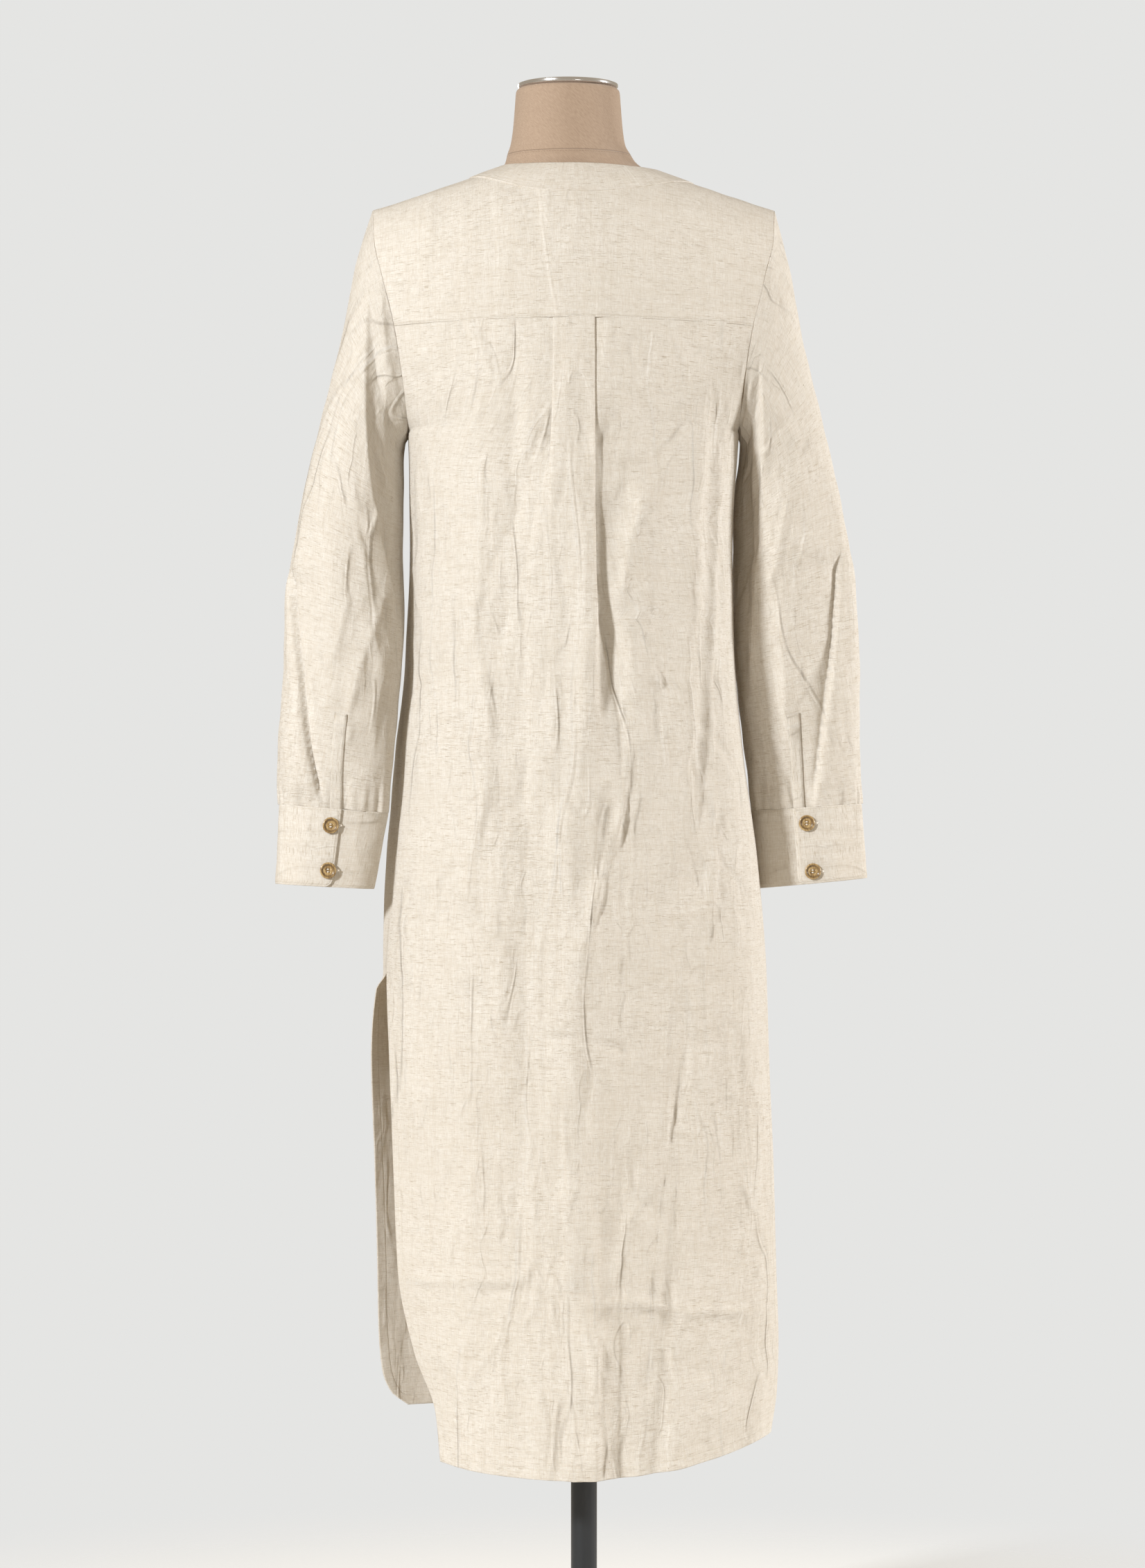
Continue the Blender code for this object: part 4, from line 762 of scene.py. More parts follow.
def yoke_half(side):
    """Half of the yoke's places (s, g): lines that fan out from the neck to the back seam and the armhole."""
    seam_g, front_g = place_of(YOKE_Z, -1) - YOKE_SEAM, place_of(YOKE_FRONT_Z, 1) + YOKE_SEAM
    back_theta = np.linspace(0, YOKE_CORNER, YOKE_COLUMNS_BACK)[:-1]
    arm_theta = np.linspace(YOKE_CORNER, neck_corner(front_g, UNDER_BAND, side), YOKE_COLUMNS_ARM)
    inner_x, inner_g = neck_line(np.concatenate([back_theta, arm_theta]), UNDER_BAND, side)
    inner_s = across(inner_x, inner_g)
    outer_s = np.concatenate([np.linspace(0, 1, YOKE_COLUMNS_BACK)[:-1], np.ones(YOKE_COLUMNS_ARM)]) * side
    outer_g = np.append(np.full(YOKE_COLUMNS_BACK - 1, seam_g), np.linspace(seam_g, front_g, YOKE_COLUMNS_ARM))
    t = with_edges(YOKE_ROWS, 0, 1, 0.008)[:, None]
    return inner_s + (outer_s * SIDE_END - inner_s) * t, inner_g + (outer_g - inner_g) * t


_, along, points, out = whole(yoke_half)
from_back, from_front = along - along.min(), along.max() - along
over_pleat = np.exp(-(((points[..., 0] - CENTRE_X - PLEAT_X) / 0.026) ** 4))
creases = small_creases(31, 16, (-180, 165), (1320, 1440), 0.35)
relief = 0.00015 * step(from_back, 0.010, 0.001) + 0.0008 * over_pleat * step(from_back, 0.024, 0.001)
relief = relief + 0.00035 * step(from_front, 0.010, 0.001) + crumple(points, out, creases, -1)
relief = relief + 0.0004 * uneven(points[..., 0], points[..., 2], 0.06, 2.0)
points = points + out * relief[..., None]
stitch = join(points[..., 0], YOKE_STITCH - np.minimum(from_back, from_front))
yoke = cloth("dress_yoke", points, join(points[..., 0] + YOKE_WEAVE, along), stitch, "back_yoke")


# ----------------------------------------
# Neck band. A doubled strip of linen, 30 mm wide, shaped round the neckline and stitched down along its outer edge.
BAND = 0.0020
BAND_STITCH = 0.0024
BAND_SWELL = 0.0003
BAND_WEAVE = 9.3
BAND_COLUMNS_HALF, BAND_ROWS = 140, 16


def band_angles(side):
    """Angles from the back centre to the front centre that divide half of the band evenly."""
    fine = np.linspace(0, math.pi, 800)
    x, g = neck_line(fine, BAND_WIDTH, side)
    length = np.append(0, np.cumsum(np.hypot(np.diff(x), np.diff(g))))
    return np.interp(np.linspace(0, length[-1], BAND_COLUMNS_HALF + 1), length, fine)


right_theta, left_theta = band_angles(1), band_angles(-1)[-2:0:-1]
rows, widths = [], with_edges(BAND_ROWS, 0.0, BAND_WIDTH, 0.0008)
for grow in widths:
    right, left = neck_line(right_theta, grow, 1), neck_line(left_theta, grow, -1)
    x, g = np.concatenate([right, left], axis=1)
    s = across(x, g)
    swell = BAND_SWELL * math.sin(math.pi * grow / BAND_WIDTH) + 0.0002 * uneven(x, g, 0.05, 0.4)
    rows.append(body(s, g) + outwards(s, g) * ((BAND - CLOTH) / 2 + swell)[..., None])
points = np.stack(rows)
ring = np.concatenate([points, points[:, :1]], axis=1)
gone = run_across(ring)
grow = widths[:, None] + 0 * gone
inset = np.where(grow < BAND_WIDTH / 2, NO_STITCH, BAND_STITCH - (BAND_WIDTH - grow))
weave, stitch = join(gone[-1] + 0 * gone + BAND_WEAVE, grow), join(gone, -np.abs(inset))
band = cloth("dress_neck_band", points, weave, stitch, "neck_band", BAND, closed=True)


# ----------------------------------------
# Sleeves. Each is one piece of linen sewn into a tube and set into the armhole. A deep tuck folds its outer part over
# towards the slit, and the rest is gathered a little where it goes into the cuff.
SLEEVE_WEAVE = 12.4
SLEEVE_AROUND, SLEEVE_DOWN = 176, 236
# height and reach of the outer edge, of the inner edge, centre depth and half depth
# columns: z_out, out, z_in, in, y, half_depth
SLEEVE = {
    "left": (
        (1.372, 0.2085, 1.196, 0.1625, 0.006, 0.056),
        (1.300, 0.2225, 1.180, 0.1635, 0.002, 0.053),
        (1.218, 0.2425, 1.150, 0.1635, -0.003, 0.050),
        (1.130, 0.2625, 1.090, 0.1640, -0.010, 0.048),
        (1.060, 0.2725, 1.030, 0.1622, -0.018, 0.046),
        (0.970, 0.2765, 0.945, 0.1680, -0.025, 0.041),
        (0.895, 0.2825, 0.880, 0.1735, -0.030, 0.034),
        (0.8505, 0.2805, 0.8425, 0.1775, -0.031, 0.0245),
    ),
    "right": (
        (1.372, 0.2065, 1.196, 0.1610, 0.014, 0.056),
        (1.300, 0.2205, 1.180, 0.1600, 0.020, 0.053),
        (1.218, 0.2410, 1.150, 0.1560, 0.030, 0.050),
        (1.130, 0.2615, 1.090, 0.1545, 0.038, 0.049),
        (1.060, 0.2725, 1.030, 0.1545, 0.042, 0.047),
        (0.970, 0.2775, 0.945, 0.1610, 0.044, 0.042),
        (0.895, 0.2775, 0.880, 0.1690, 0.043, 0.034),
        (0.8510, 0.2785, 0.8440, 0.1725, 0.040, 0.0255),
    ),
}
# The deep tuck: place round the sleeve at its top and foot, and its top height
# columns: u_top, u_foot, z_top
TUCK = {"left": (0.020, 0.214, 1.080), "right": (0.085, 0.228, 1.100)}
TUCK_DEPTH = 0.0056
# Where the upper sleeve turns in towards the body: place round it at the top and foot of the fold, and depth
# columns: u_top, u_foot, depth
TURN_IN = {"left": (0.160, 0.420, 0.0110), "right": (0.280, 0.360, 0.0075)}
TURN_IN_Z = (1.30, 1.06)
GATHERS, PUCKERS = 9, 23
SLEEVE_CREASES = {
    "left": (
        ((-198, 1366, -193, 1321, -191, 1278, -186, 1219, -184, 1175, -179, 1142, -175, 1071), 12, 4, 2.6),
        ((-210, 1221, -198, 1197, -185, 1161, -178, 1137), 5, 4, 1.7),
        ((-190, 1159, -199, 1128, -205, 1104), 5, 4, 1.6),
        ((-189, 1065, -201, 1023, -215, 983, -222, 953, -228, 925), 7, 5, 2),
        ((-224, 1058, -238, 1004, -248, 976), 6, 5, 1.6),
        ((-235, 937, -228, 929, -225, 920, -228, 906), 3, 3, 1.2),
    ),
    "right": (
        ((168, 1292, 162, 1266, 160, 1231, 160, 1159, 163, 1071, 161, 965, 149, 918), 4, 12, 2.6),
        ((208, 1242, 204, 1187, 194, 1128, 182, 1081), 8, 6, 1.8),
        ((192, 1103, 185, 1081, 178, 1058), 5, 4, 1.4),
        ((248, 990, 246, 941, 239, 894), 6, 5, 1.5),
        ((191, 1063, 189, 1035, 193, 976, 194, 946, 200, 904), 5, 4, 1.6),
    ),
}
SLEEVE_FRONT_CREASES = {
    "left": (
        ((-206, 1330, -214, 1240, -206, 1160, -214, 1080), 8, 4, 2.2),
        ((-190, 1190, -204, 1140, -214, 1090), 5, 4, 1.6),
        ((-232, 1060, -240, 1000, -232, 930), 6, 5, 1.8),
    ),
    "right": (
        ((186, 1320, 196, 1230, 188, 1150, 198, 1070), 4, 8, 2.2),
        ((180, 1180, 194, 1130, 204, 1084), 4, 5, 1.6),
        ((214, 1040, 222, 980, 214, 920), 5, 6, 1.8),
    ),
}


def side_sign(side):
    return -1 if side == "left" else 1


def armhole(side, u):
    """Loop round the armhole, u 0 at the shoulder, a quarter at the back, a half at the armpit."""
    back_g, front_g = place_of(ARMPIT_Z, -1), place_of(ARMPIT_Z, 1)
    g = np.where(u <= 0.5, back_g * u / 0.5, front_g * (1 - u) / 0.5)
    loop = body(np.full_like(g, side_sign(side)), g)
    loop[..., 0] += side_sign(side) * 0.0004
    return loop


def oval(side, row, u):
    """Oval section from its outer and inner edge, u 0 at the outer edge and a quarter at the back."""
    z_out, out, z_in, inner, y, half_depth = row
    turn = 2 * math.pi * np.asarray(u)
    share = np.cos(turn)
    x = CENTRE_X + side_sign(side) * ((out + inner) / 2 + (out - inner) / 2 * share)
    z = (z_out + z_in) / 2 + (z_out - z_in) / 2 * share
    return join(x, y - half_depth * np.sin(turn), z)


def sleeve_point(side, u, t):
    """Middle layer of the sleeve: sections joined by smooth curves, t 0 at the armhole and 1 at the cuff seam."""
    sections = np.stack([armhole(side, u)] + [oval(side, row, u) for row in SLEEVE[side]])
    middle = sections.mean(axis=1)
    knots = np.append(0, np.cumsum(np.linalg.norm(np.diff(middle, axis=0), axis=1)))
    flat = smooth(knots / knots[-1], sections.reshape(len(sections), -1), t)
    return flat.reshape(len(t), len(u), 3)


def sleeve_relief(side, u, points):
    """How far the tuck and the gathers at the cuff move the cloth outwards; the tuck's outer part lies on top."""
    u_top, u_foot, z_top = TUCK[side]
    cuff_z = SLEEVE[side][-1][0]
    z = points[..., 2]
    down = np.clip((z_top - z) / (z_top - cuff_z), 0, 1)
    away = np.mod(u[None, :] - u_top - (u_foot - u_top) * down**0.85 + 0.5, 1) - 0.5
    behind = -step(away, -0.003, 0.004) * step(away, 0.24, 0.02)
    over = 0.42 * step(away, 0.004, -0.005) * step(away, -0.16, -0.03)
    edge = 0.35 * np.exp(-((away / 0.013) ** 2))
    tuck = TUCK_DEPTH * (behind + over - edge) * step(down, 0.0, 0.10) * (1 - 0.75 * step(down, 0.9, 1.0))
    around = 2 * math.pi * u[None, :]
    over_cuff = z - cuff_z
    gather = 0.0011 * np.cos(GATHERS * around + 0.6 * np.sin(2 * around)) * step(over_cuff, 0.055, 0.004)
    pucker = 0.0006 * np.cos(PUCKERS * around + 1.3 * np.sin(3 * around)) * step(over_cuff, 0.026, 0.004)
    row_z = z.mean(axis=1, keepdims=True)
    line = np.interp(-row_z, (-TURN_IN_Z[0], -TURN_IN_Z[1]), TURN_IN[side][:2])
    share = np.clip((u[None, :] - line) / (0.52 - line), 0, 1)
    shown = step(row_z, 1.305, 1.265) * step(row_z, 1.0, 1.13)
    return tuck + gather + pucker - TURN_IN[side][2] * np.sin(math.pi * share**0.65) * shown


def wall_out(points, closed, middle):
    """Unit directions off a grid of points, on the side that faces away from the middle of each row's section."""
    over = np.roll(points, -1, axis=1) - np.roll(points, 1, axis=1) if closed else np.gradient(points, axis=1)
    n = np.cross(over, np.gradient(points, axis=0))
    return unit(n * np.sign(np.sum(n * (points - middle), axis=-1, keepdims=True)))


def sleeve_grid(side, u, t):
    """The sleeve's middle layer with its tuck, gathers and creases, and the directions out of it."""
    points = sleeve_point(side, u, t)
    out = wall_out(points, True, points.mean(axis=1, keepdims=True))
    near, far = 155 * side_sign(side), 290 * side_sign(side)
    field = (min(near, far), max(near, far)), (860, 1380)
    behind = [*SLEEVE_CREASES[side], *small_creases(22 + side_sign(side), 26, *field, 0.9)]
    ahead = [*SLEEVE_FRONT_CREASES[side], *small_creases(26 + side_sign(side), 26, *field, 0.9)]
    relief = sleeve_relief(side, u, points) + crumple(points, out, behind, -1) + crumple(points, out, ahead, 1)
    waves = uneven(points[..., 1] - side_sign(side) * points[..., 0], points[..., 2], 0.09, 0.8)
    relief = relief + 0.0006 * waves * step(t, 0.0, 0.1)[:, None]
    return points + out * relief[..., None], out


sleeve_u = np.linspace(0, 1, SLEEVE_AROUND, endpoint=False)
sleeve_t = with_edges(SLEEVE_DOWN, 0, 1, 0.0015)
SLEEVE_GRIDS = {side: sleeve_grid(side, sleeve_u, sleeve_t) for side in ("left", "right")}
for side, (points, out) in SLEEVE_GRIDS.items():
    ring = np.concatenate([points, points[:, :1]], axis=1)
    gone = run_across(ring)
    down = np.append(0, np.cumsum(np.linalg.norm(np.diff(points[:, SLEEVE_AROUND // 4], axis=0), axis=-1)))
    weave = join(gone + SLEEVE_WEAVE + side_sign(side), down[:, None])
    stitch = np.full(weave.shape, NO_STITCH)
    sleeve = cloth(f"dress_sleeve_{side}", points, weave, stitch, f"sleeve_{side}", closed=True)


# ----------------------------------------
# Plackets. The slit above each cuff is bound with a narrow strip of linen that lies flat along its upper edge.
CUFF_LAP = {"left": 0.277, "right": 0.291}
PLACKET_Z = 0.936
PLACKET_WIDTH = 0.011
PLACKET_STITCH = 0.0013
PLACKET_LIFT = 0.0012
PLACKET_WEAVE = 15.0


def between(grid, rows, columns):
    """Points of a grid at places between its rows and columns."""
    r = np.clip(np.floor(rows).astype(int), 0, len(grid) - 2)[:, None]
    c = np.floor(columns).astype(int)[None]
    down, over = (rows[:, None] - r)[..., None], (columns[None] - c)[..., None]
    upper = grid[r, c] * (1 - over) + grid[r, c + 1] * over
    lower = grid[r + 1, c] * (1 - over) + grid[r + 1, c + 1] * over
    return upper * (1 - down) + lower * down


for side, (points, out) in SLEEVE_GRIDS.items():
    last = CUFF_LAP[side] * SLEEVE_AROUND
    pitch = np.linalg.norm(points[-1, 45] - points[-1, 44])
    columns = np.linspace(last - PLACKET_WIDTH / pitch, last, 9)
    all_rows = np.arange(len(points) * 1.0)
    top = float(np.interp(-PLACKET_Z, -between(points, all_rows, columns[-1:])[:, 0, 2], all_rows))
    rows = np.linspace(top, len(points) - 1, 60)
    strip = between(points, rows, columns) + between(out, rows, columns) * PLACKET_LIFT
    gone = run_across(strip)
    down = np.append(0, np.cumsum(np.linalg.norm(np.diff(strip[:, 4], axis=0), axis=-1)))[:, None]
    edge = np.minimum(np.minimum(gone - gone[:, :1], gone[:, -1:] - gone), down)
    weave, stitch = join(down + PLACKET_WEAVE, gone), join(down, PLACKET_STITCH - edge)
    placket = cloth(f"dress_placket_{side}", strip, weave, stitch, f"placket_{side}")


# ----------------------------------------
# Cuffs. Each is a doubled band of linen cut with its slubs upright, lapped over itself at the back of the wrist, with
# one rounded corner, topstitched edges and two worked buttonholes.
# columns: z_out, out, z_in, in, y, half_depth
CUFF = {
    "left": ((0.8500, 0.2802, 0.8420, 0.1777, -0.031, 0.0246), (0.775, 0.2837, 0.770, 0.1910, -0.032, 0.0262)),
    "right": ((0.8505, 0.2786, 0.8435, 0.1724, 0.040, 0.0256), (0.779, 0.2840, 0.769, 0.1777, 0.041, 0.0272)),
}
CUFF_ROUND = 0.24
CUFF_UNDER = 0.105
LAP_LEVEL = 0.0013
CUFF_CORNER = 0.007
CUFF_STITCH = 0.0022
CUFF_WEAVE = 18.6
CUFF_RISE = 0.008  # how far the cuff reaches up over the sleeve, as a share of its depth
CUFF_AROUND, CUFF_DOWN = 240, 40
CUFF_WRINKLES = {
    "left": (((-262, 846, -266, 826, -260, 806), 5, 4, 0.6), ((-214, 842, -220, 812, -214, 786), 5, 4, 0.6)),
    "right": (((220, 821, 228, 806, 228, 795), 4, 3, 0.9), ((252, 846, 256, 820, 250, 800), 5, 4, 0.6)),
}


def cuff_point(side, u, t):
    """Middle layer of the cuff: t 0 at its top and 1 at its foot, and u past 1 is the top layer of the lap."""
    top, foot = (np.array(row) for row in CUFF[side])
    u, t = np.broadcast_arrays(u, t)
    lap = CUFF_LAP[side]
    level = LAP_LEVEL * (step(u, lap + 0.72, lap + 0.88) - step(u, lap + 0.12, lap - 0.02))
    top, foot = (row.reshape(-1, *[1] * u.ndim) for row in (top, foot))
    row = top + (foot - top) * t
    flat, ahead = oval(side, row, u), oval(side, row, u + 1e-4)
    down = oval(side, foot + 0 * u, u) - oval(side, top + 0 * u, u)
    out = unit(np.cross(unit(ahead - flat), down) * side_sign(side))
    return flat + out * level[..., None], out


for side in ("left", "right"):
    lap = CUFF_LAP[side]
    deep = CUFF[side][0][0] - CUFF[side][1][0]
    t = with_edges(CUFF_DOWN, -CUFF_RISE, 1, CUFF_RISE)[:, None]
    from_foot = (1 - t) * deep
    cut = CUFF_CORNER - np.sqrt(np.clip(CUFF_CORNER**2 - np.clip(CUFF_CORNER - from_foot, 0, None) ** 2, 0, None))
    last = 1 + lap - cut / CUFF_ROUND
    share = with_edges(CUFF_AROUND, 0, 1, 0.003)[None]
    u = (lap - CUFF_UNDER) * (1 - share) + last * share
    points, out = cuff_point(side, u, t)
    relief = crumple(points, out, CUFF_WRINKLES[side], -1)
    relief = relief + 0.0005 * uneven(u * CUFF_ROUND, t * deep, 0.05, side_sign(side)) * step(t, 0, 0.3)
    gone = run_across(points)
    edge = np.minimum(np.minimum(gone[:, -1:] - gone, (t + CUFF_RISE) * deep), from_foot)
    points = points + out * (relief - 0.0003 * step(edge, 0.0016, 0.0))[..., None]
    stitch = join(np.where(edge < gone[:, -1:] - gone, gone, t * deep), CUFF_STITCH - edge)
    cuff = cloth(f"dress_cuff_{side}", points, join(t * deep + CUFF_WEAVE, gone), stitch, f"cuff_{side}", BAND)


# ----------------------------------------
# Buttons. Four horn-look buttons, 15.6 mm across, with a raised rim and four holes, each sewn on through a worked
# buttonhole whose end shows beside it. The inner slope of each rim carries a band of painted shade.
BUTTON_R = 0.0078
BUTTON_THICK = 0.0028
# Button places: round the cuff and down it, from 0 at its top to 1 at its foot
BUTTONS = {
    "left": {"upper": (0.251, 0.21), "lower": (0.259, 0.79)},
    "right": {"upper": (0.255, 0.20), "lower": (0.248, 0.84)},
}
# Outline from the middle of the face to the middle of the back: radius and height as shares of the button's own
BUTTON_OUTLINE = (
    (0.00, 0.60), (0.20, 0.60), (0.40, 0.60), (0.56, 0.61), (0.66, 0.68), (0.73, 0.90), (0.79, 0.99), (0.86, 1.00),
    (0.93, 0.95), (0.98, 0.80), (1.00, 0.60), (0.97, 0.38), (0.88, 0.12), (0.80, 0.02), (0.70, 0.00), (0.00, 0.00),
)
BUTTON_RINGS, FACE_RINGS, BUTTON_STEPS = 46, 20, 56
HOLE_R, HOLE_AT, HOLE_DEPTH, THREAD_R = 0.00085, 0.0017, 0.0011, 0.00045
SEWN_LOOSE = 0.0004  # room between cuff and button
# Rings of the mound of thread at a buttonhole's end: length and width as shares of its own, height over the cuff
MOUND = ((0.55, 0.16, 0.00005), (0.72, 0.45, 0.00045), (0.90, 0.80, 0.00055), (1.0, 1.0, -0.0003))
MOUND_LONG, MOUND_WIDE, MOUND_X, MOUND_STEPS = 0.0096, 0.0016, -0.0016, 40
THREAD_RINGS, THREAD_STEPS = 15, 10

horn = Finish("horn_look", {"Specular IOR Level": 0.5, "Coat Weight": 0.35, "Coat Roughness": 0.12})
x, y, z = horn.place()
from_middle, _ = horn.chart("round")
streak = horn.noise(x * 900 + 260 * z, z * 160, y * 400, detail=3.0, rough=0.6)
cloud = horn.noise(x * 240, y * 240, z * 240, detail=2.0)
tone = horn.mix(horn.between(streak, 0.34, 0.66), (0.250, 0.150, 0.052, 1), (0.520, 0.370, 0.170, 1))
tone = horn.mix(0.7 * horn.between(cloud, 0.5, 0.75), tone, (0.120, 0.062, 0.022, 1))
# painted shade: a dark band on the inner slope of the rim, where the rim shades the button's face
ring = horn.between(from_middle, 0.52, 0.64) - horn.between(from_middle, 0.78, 0.90)
tone = horn.mix(0.65 * ring, tone, (0.095, 0.052, 0.020, 1))
horn.set({"Base Color": tone, "Roughness": 0.22 + 0.16 * cloud})
horn.bump(streak, 0.00006)

sewing_thread = Finish("sewing_thread", {"Roughness": 0.7, "Sheen Weight": 0.1})
x, y, z = sewing_thread.place()
twist = sewing_thread.noise(x * 3000 + z * 2600, y * 900, z * 900, detail=0.0)
sewing_thread.set({"Base Color": sewing_thread.mix(twist, (0.72, 0.66, 0.56, 1), (0.90, 0.86, 0.79, 1))})
sewing_thread.bump(twist, 0.00015)


def disc_faces(rings, steps):
    """Faces of a round body whose first and last points stand alone on the axis, with rings of points between."""
    k = np.arange(steps)
    ahead = (k + 1) % steps
    first = join(0, 1 + k, 1 + ahead).tolist()
    low = 1 + (rings - 1) * steps
    last = join(low + steps, low + ahead, low + k).tolist()
    start = 1 + steps * np.arange(rings - 1)[:, None]
    sides = join(start + k, start + steps + k, start + steps + ahead, start + ahead)
    return first + sides.reshape(-1, 4).tolist() + last


def round_body(rings, top, foot):
    """Points of a round body: the one at its top, its rings and the one at its foot."""
    return np.concatenate([[top], np.reshape(rings, (-1, 3)), [foot]])


def button_body():
    """Points and faces of a button round its own axis, with four holes sunk into its face."""
    places = np.linspace(0, len(BUTTON_OUTLINE) - 1, BUTTON_RINGS)
    outline = smooth(np.arange(len(BUTTON_OUTLINE)), BUTTON_OUTLINE, places)
    angle = angles_round(BUTTON_STEPS)
    r, h = outline[1:-1, 0, None] * BUTTON_R, outline[1:-1, 1, None] * BUTTON_THICK
    a, b = r * np.cos(angle), r * np.sin(angle)
    on_face = (np.arange(len(r)) < FACE_RINGS)[:, None]
    for turn in angles_round(4) + math.pi / 4:
        gap = np.hypot(a - HOLE_AT * math.cos(turn), b - HOLE_AT * math.sin(turn))
        h = h - on_face * HOLE_DEPTH * step(gap, HOLE_R * 1.25, HOLE_R * 0.75)
    top = (0, 0, outline[0, 1] * BUTTON_THICK)
    return round_body(join(a, b, h), top, (0, 0, 0)), disc_faces(len(r), BUTTON_STEPS)


def mound_body():
    """Points and faces of the mound of thread that shows at the buttonhole's end, beside the button."""
    angle = angles_round(MOUND_STEPS)
    length, wide = np.sign(np.cos(angle)) * np.abs(np.cos(angle)) ** 0.5, np.sin(angle)
    rings = [join(a * MOUND_LONG * length + MOUND_X, b * MOUND_WIDE * wide, c) for a, b, c in MOUND]
    return round_body(rings, (MOUND_X, 0, 0), (MOUND_X, 0, -0.0006)), disc_faces(len(MOUND), MOUND_STEPS)


def thread_body(row):
    """Points and faces of one bow of thread across the button's middle, between the two holes of a row."""
    over = np.linspace(0, 1, THREAD_RINGS)
    apart = HOLE_AT * 0.7071
    centre = join(apart * (2 * over - 1), row * apart, 0.0013 + 0.00075 * np.sin(math.pi * over))
    angle = angles_round(THREAD_STEPS)
    rings = centre[:, None] + join(0, np.cos(angle), np.sin(angle)) * THREAD_R
    return round_body(rings, centre[0], centre[-1]), disc_faces(THREAD_RINGS, THREAD_STEPS)


for side, places in BUTTONS.items():
    for name, (u, t) in places.items():
        seat, out = (found[0] for found in cuff_point(side, np.array([1 + u]), np.array([t])))
        right = unit(np.cross((0, 0, 1), -out))
        axes = np.stack([right, np.cross(out, right), out])
        seat = seat + out * (BAND / 2 + SEWN_LOOSE)
        local, faces = button_body()
        corners = np.concatenate([np.array(face) for face in faces])
        chart = {"round": join(np.hypot(local[:, 0], local[:, 1]) / BUTTON_R, local[:, 2])[corners]}
        points, stands_for = seat + local @ axes, [f"button_{side}_{name}"]
        piece(f"cuff_button_{side}_{name}", points, faces, horn, stands_for, chart, slot="horn_button")
        local, faces = mound_body()
        mound = (seat - out * SEWN_LOOSE) + local @ axes
        piece(f"buttonhole_{side}_{name}", mound, faces, sewing_thread, slot="linen")
        for k, row in enumerate((-1, 1)):
            local, faces = thread_body(row)
            piece(f"button_thread_{side}_{name}_{k}", seat + local @ axes, faces, sewing_thread, slot="linen")


# ----------------------------------------
# Dress form. A padded torso without arms or legs, covered in fine rosy-brown twill, seamed where the neck begins and
# closed at the foot; the dress hangs on its shoulders.
TORSO_FOOT_Z = 0.800
FORM_GAP = 0.0014
FORM_STEPS = 96
# columns: z, x, y, half, front, back
FORM = (
    (0.8000, -0.010, 0.006, 0.1440, 0.086, 0.082),
    (0.8120, -0.010, 0.006, 0.1540, 0.092, 0.088),
    (0.8700, -0.010, 0.006, 0.1560, 0.096, 0.092),
    (0.9400, -0.010, 0.006, 0.1480, 0.094, 0.090),
    (1.0300, -0.010, 0.008, 0.1160, 0.078, 0.076),
    (1.1000, -0.010, 0.010, 0.1240, 0.088, 0.082),
    (1.1900, -0.010, 0.012, 0.1400, 0.110, 0.096),
    (1.2700, -0.010, 0.012, 0.1440, 0.104, 0.098),
    (1.3300, -0.010, 0.012, 0.1560, 0.084, 0.092),
    (1.3750, -0.010, 0.012, 0.1680, 0.066, 0.076),
    (1.4050, -0.010, 0.013, 0.1760, 0.050, 0.056),
)
# columns: half, x, y, front, back
FORM_TOP = (
    (0.1800, -0.010, 0.014, 0.036, 0.040),
    (0.1600, -0.010, 0.014, 0.040, 0.044),
    (0.1350, -0.010, 0.015, 0.046, 0.048),
    (0.1100, -0.010, 0.016, 0.050, 0.052),
    (0.0880, -0.010, 0.017, 0.052, 0.053),
    (0.0705, -0.010, 0.018, 0.052, 0.053),
)
NECK = (
    (1.4700, -0.0130, 0.018, 0.0628, 0.053, 0.053),
    (1.4780, -0.0145, 0.020, 0.0594, 0.052, 0.051),
    (1.4870, -0.0155, 0.021, 0.0555, 0.052, 0.050),
    (1.5030, -0.0155, 0.022, 0.0530, 0.051, 0.049),
    (1.5250, -0.0155, 0.023, 0.0512, 0.050, 0.049),
    (1.5385, -0.0155, 0.023, 0.0500, 0.049, 0.048),
    (1.5415, -0.0155, 0.023, 0.0478, 0.047, 0.046),
)
NECK_SEAM_Z = 1.4772


def shoulder_height(reach):
    """Height of the shoulder line's outer face at this distance from the centre line."""
    z_mid, tip, z_edge = SHOULDER_SECTION[0], SHOULDER_SECTION[2], SHOULDER_SECTION[5]
    return z_mid + (z_edge - z_mid) * slope_shape(np.abs(reach) / tip, 0)


def inside_cloth(x, z):
    """Rearmost and foremost depth of the dress's inner face at these distances from the centre, at a height."""
    gap = CLOTH / 2 + FORM_GAP
    z = np.minimum(z + gap, shoulder_height(x) - 1e-5)
    limits = []
    for side in (-1, 1):
        g = np.linspace(0, place_of(ARMPIT_Z, side), 300)
        path = body(across(x[:, None] + 0 * g, g + 0 * x[:, None]), g + 0 * x[:, None])
        limits.append([np.interp(at, row[::-1, 2], row[::-1, 1] - side * gap) for at, row in zip(z, path)])
    return np.array(limits)


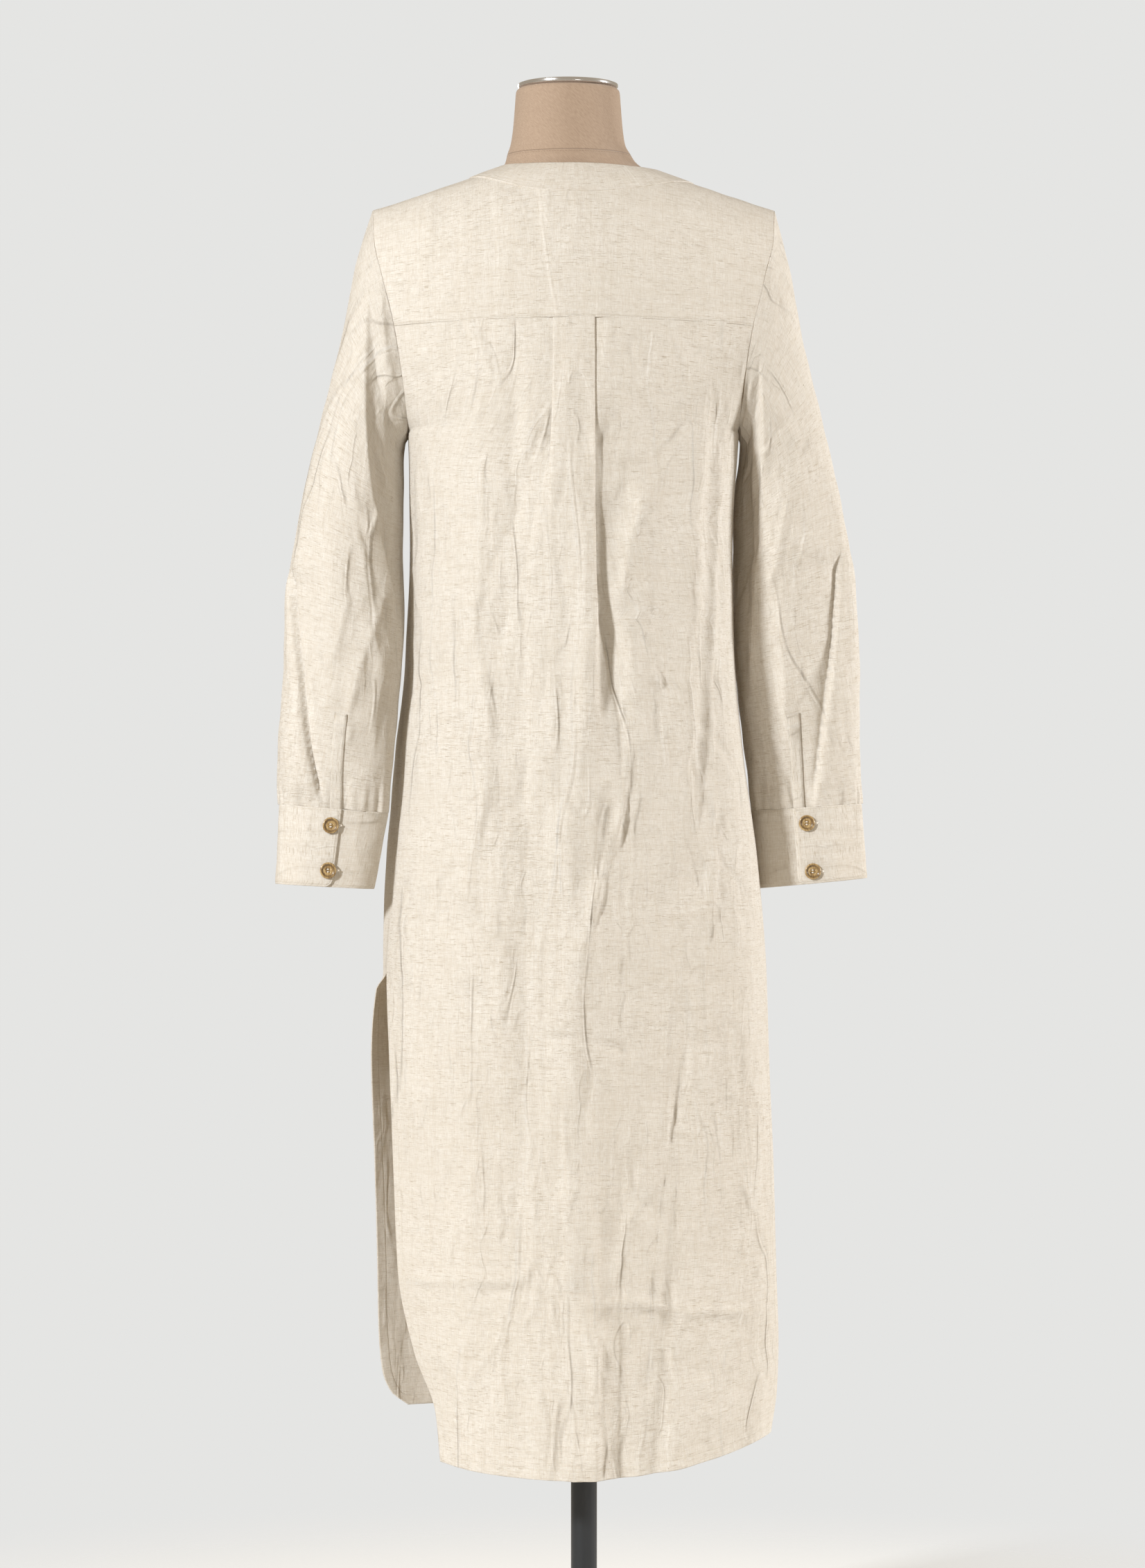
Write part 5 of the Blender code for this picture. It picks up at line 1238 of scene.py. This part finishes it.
rows = [*FORM]
for half, x, y, front_depth, back_depth in FORM_TOP:
    rows.append((float(shoulder_height(half)) - 0.00055 - FORM_GAP, x, y, half, front_depth, back_depth))
rows += NECK
turn = angles_round(FORM_STEPS)
rings = []
for z, x, y, half, front_depth, back_depth in rows:
    reach = half * np.cos(turn)
    depth = y + np.where(np.sin(turn) > 0, front_depth, back_depth) * np.sin(turn)
    if ARMPIT_Z < z < NECK[0][0]:
        depth = np.clip(depth, *inside_cloth(reach, z))
    rings.append(join(x + reach, depth, z))
knots = np.arange(len(rings))
at = np.concatenate([[0, 0.12], np.linspace(0, knots[-1], 5 * knots[-1] + 1)[1:-1], [knots[-1] - 0.1, knots[-1]]])
grid = smooth(knots, np.reshape(rings, (len(rings), -1)), np.sort(at)).reshape(-1, FORM_STEPS, 3)
points = round_body(grid[::-1], grid[-1].mean(axis=0), grid[0].mean(axis=0))

twill = Finish("form_twill", {"Roughness": 0.82, "Sheen Weight": 0.15, "Specular IOR Level": 0.3})
x, y, z = twill.place()
diagonal = twill.noise((x + z) * 1300, (x - z) * 170, y * 500, detail=0.0)
cloud = twill.noise(x * 22, y * 22, z * 22, detail=2.0)
tone = twill.mix(diagonal, (0.285, 0.200, 0.140, 1), (0.420, 0.315, 0.230, 1))
tone = twill.mix(0.35 * cloud, tone, (0.385, 0.290, 0.215, 1))
seam = 1 - twill.between(abs(z - NECK_SEAM_Z), 0.0001, 0.0006)
below, beat = abs(z - NECK_SEAM_Z + 0.0020), x.to_and_fro(0.0013)
dots = (1 - twill.between(below, 0.0002, 0.0004)) * twill.between(beat, 0.0003, 0.0006)
tone = twill.mix(0.40 * seam, tone, (0.180, 0.110, 0.070, 1))
tone = twill.mix(0.45 * dots, tone, (0.230, 0.150, 0.100, 1))
twill.set({"Base Color": tone})
twill.bump(0.10 * diagonal - 0.4 * seam - 0.1 * dots, 0.001)
form = piece("form_padding", points, disc_faces(len(grid), FORM_STEPS), twill, ["form_torso"], slot="form_cover")


# ----------------------------------------
# Stand. A turned, polished metal cap closes the neck. Below, a steel tube in satin black paint runs from a flanged
# socket under the torso into a round pressed base.
CAP_Z = 1.5473
POLE_R = 0.0125
BASE_R = 0.180
BASE_THICK = 0.012

chrome = Finish("polished_metal", {"Base Color": (0.74, 0.74, 0.76, 1), "Metallic": 1.0})
x, y, z = chrome.place()
chrome.set({"Roughness": 0.10 + 0.10 * chrome.noise(x * 90, y * 90, z * 700, detail=2.0)})
black_paint = Finish("satin_black", {"Metallic": 0.0, "Specular IOR Level": 0.45})
x, y, z = black_paint.place()
mottle = black_paint.noise(x * 700, y * 700, z * 700, detail=2.0)
wear = black_paint.noise(x * 8, y * 8, z * 8, detail=2.0)
black_paint.set({"Base Color": black_paint.mix(wear, (0.012, 0.014, 0.016, 1), (0.026, 0.028, 0.031, 1))})
black_paint.set({"Roughness": 0.34 + 0.12 * wear})
black_paint.bump(mottle, 0.00004)


def rounded(profile, radius):
    """The outline with each inner corner cut back and turned through five points of a smooth curve."""
    made = [profile[0]]
    for before, corner, after in zip(profile, profile[1:], profile[2:]):
        before, corner, after = (np.array(p, float) for p in (before, corner, after))
        back_way, on_way = before - corner, after - corner
        reach = min(radius, 0.45 * np.linalg.norm(back_way), 0.45 * np.linalg.norm(on_way))
        start, end = corner + unit(back_way) * reach, corner + unit(on_way) * reach
        for t in (0, 0.25, 0.5, 0.75, 1):
            made.append(tuple((1 - t) ** 2 * start + 2 * t * (1 - t) * corner + t**2 * end))
    return made + [profile[-1]]


def turned(name, profile, finish, node, slot, centre=(0, 0), steps=96, radius=0.0008):
    """A body of revolution: the outline from its top on the axis to its foot on the axis, carried round it."""
    outline = np.array(rounded(profile, radius))
    angle = angles_round(steps)
    r, z = outline[1:-1, :1], outline[1:-1, 1:]
    rings = join(centre[0] + r * np.cos(angle), centre[1] + r * np.sin(angle), z)
    points = round_body(rings, (*centre, outline[0, 1]), (*centre, outline[-1, 1]))
    return piece(name, points, disc_faces(len(rings), steps), finish, [node], slot=slot)


cap_r, cap_rim, cap_foot = 0.0484, 0.0036, NECK[-1][0] + 0.0003
cap_outline = [
    (0.0, CAP_Z + 0.0014), (cap_r * 0.6, CAP_Z + 0.0010), (cap_r * 0.93, CAP_Z), (cap_r, CAP_Z - 0.0012),
    (cap_r, CAP_Z - cap_rim), (cap_r * 0.985, CAP_Z - cap_rim - 0.0008), (cap_r * 0.90, cap_foot), (0.0, cap_foot),
]
turned("form_neck_cap", cap_outline, chrome, "neck_cap", "chrome_cap", NECK[-1][1:3], 120, 0.0004)
base_top = BASE_THICK + 0.055
base_outline = [
    (0.0, base_top), (POLE_R + 0.005, base_top), (POLE_R + 0.006, BASE_THICK + 0.010),
    (POLE_R + 0.014, BASE_THICK + 0.003), (BASE_R - 0.012, BASE_THICK), (BASE_R, BASE_THICK * 0.55), (BASE_R, 0.0),
    (0.0, 0.0),
]
turned("stand_base", base_outline, black_paint, "base", "black_paint", steps=144, radius=0.002)
pole_top, pole_foot = TORSO_FOOT_Z - 0.0003, BASE_THICK + 0.0043
pole_outline = [(0.0, pole_top), (POLE_R, pole_top), (POLE_R, pole_foot), (0.0, pole_foot)]
turned("stand_pole", pole_outline, black_paint, "pole", "black_paint", steps=64, radius=0.0005)
socket_outline = [
    (0.0, pole_top), (0.042, pole_top), (0.042, pole_top - 0.005), (0.021, pole_top - 0.008),
    (0.019, pole_top - 0.045), (0.0, pole_top - 0.045),
]
turned("stand_socket", socket_outline, black_paint, "pole_socket", "black_paint", steps=72, radius=0.001)
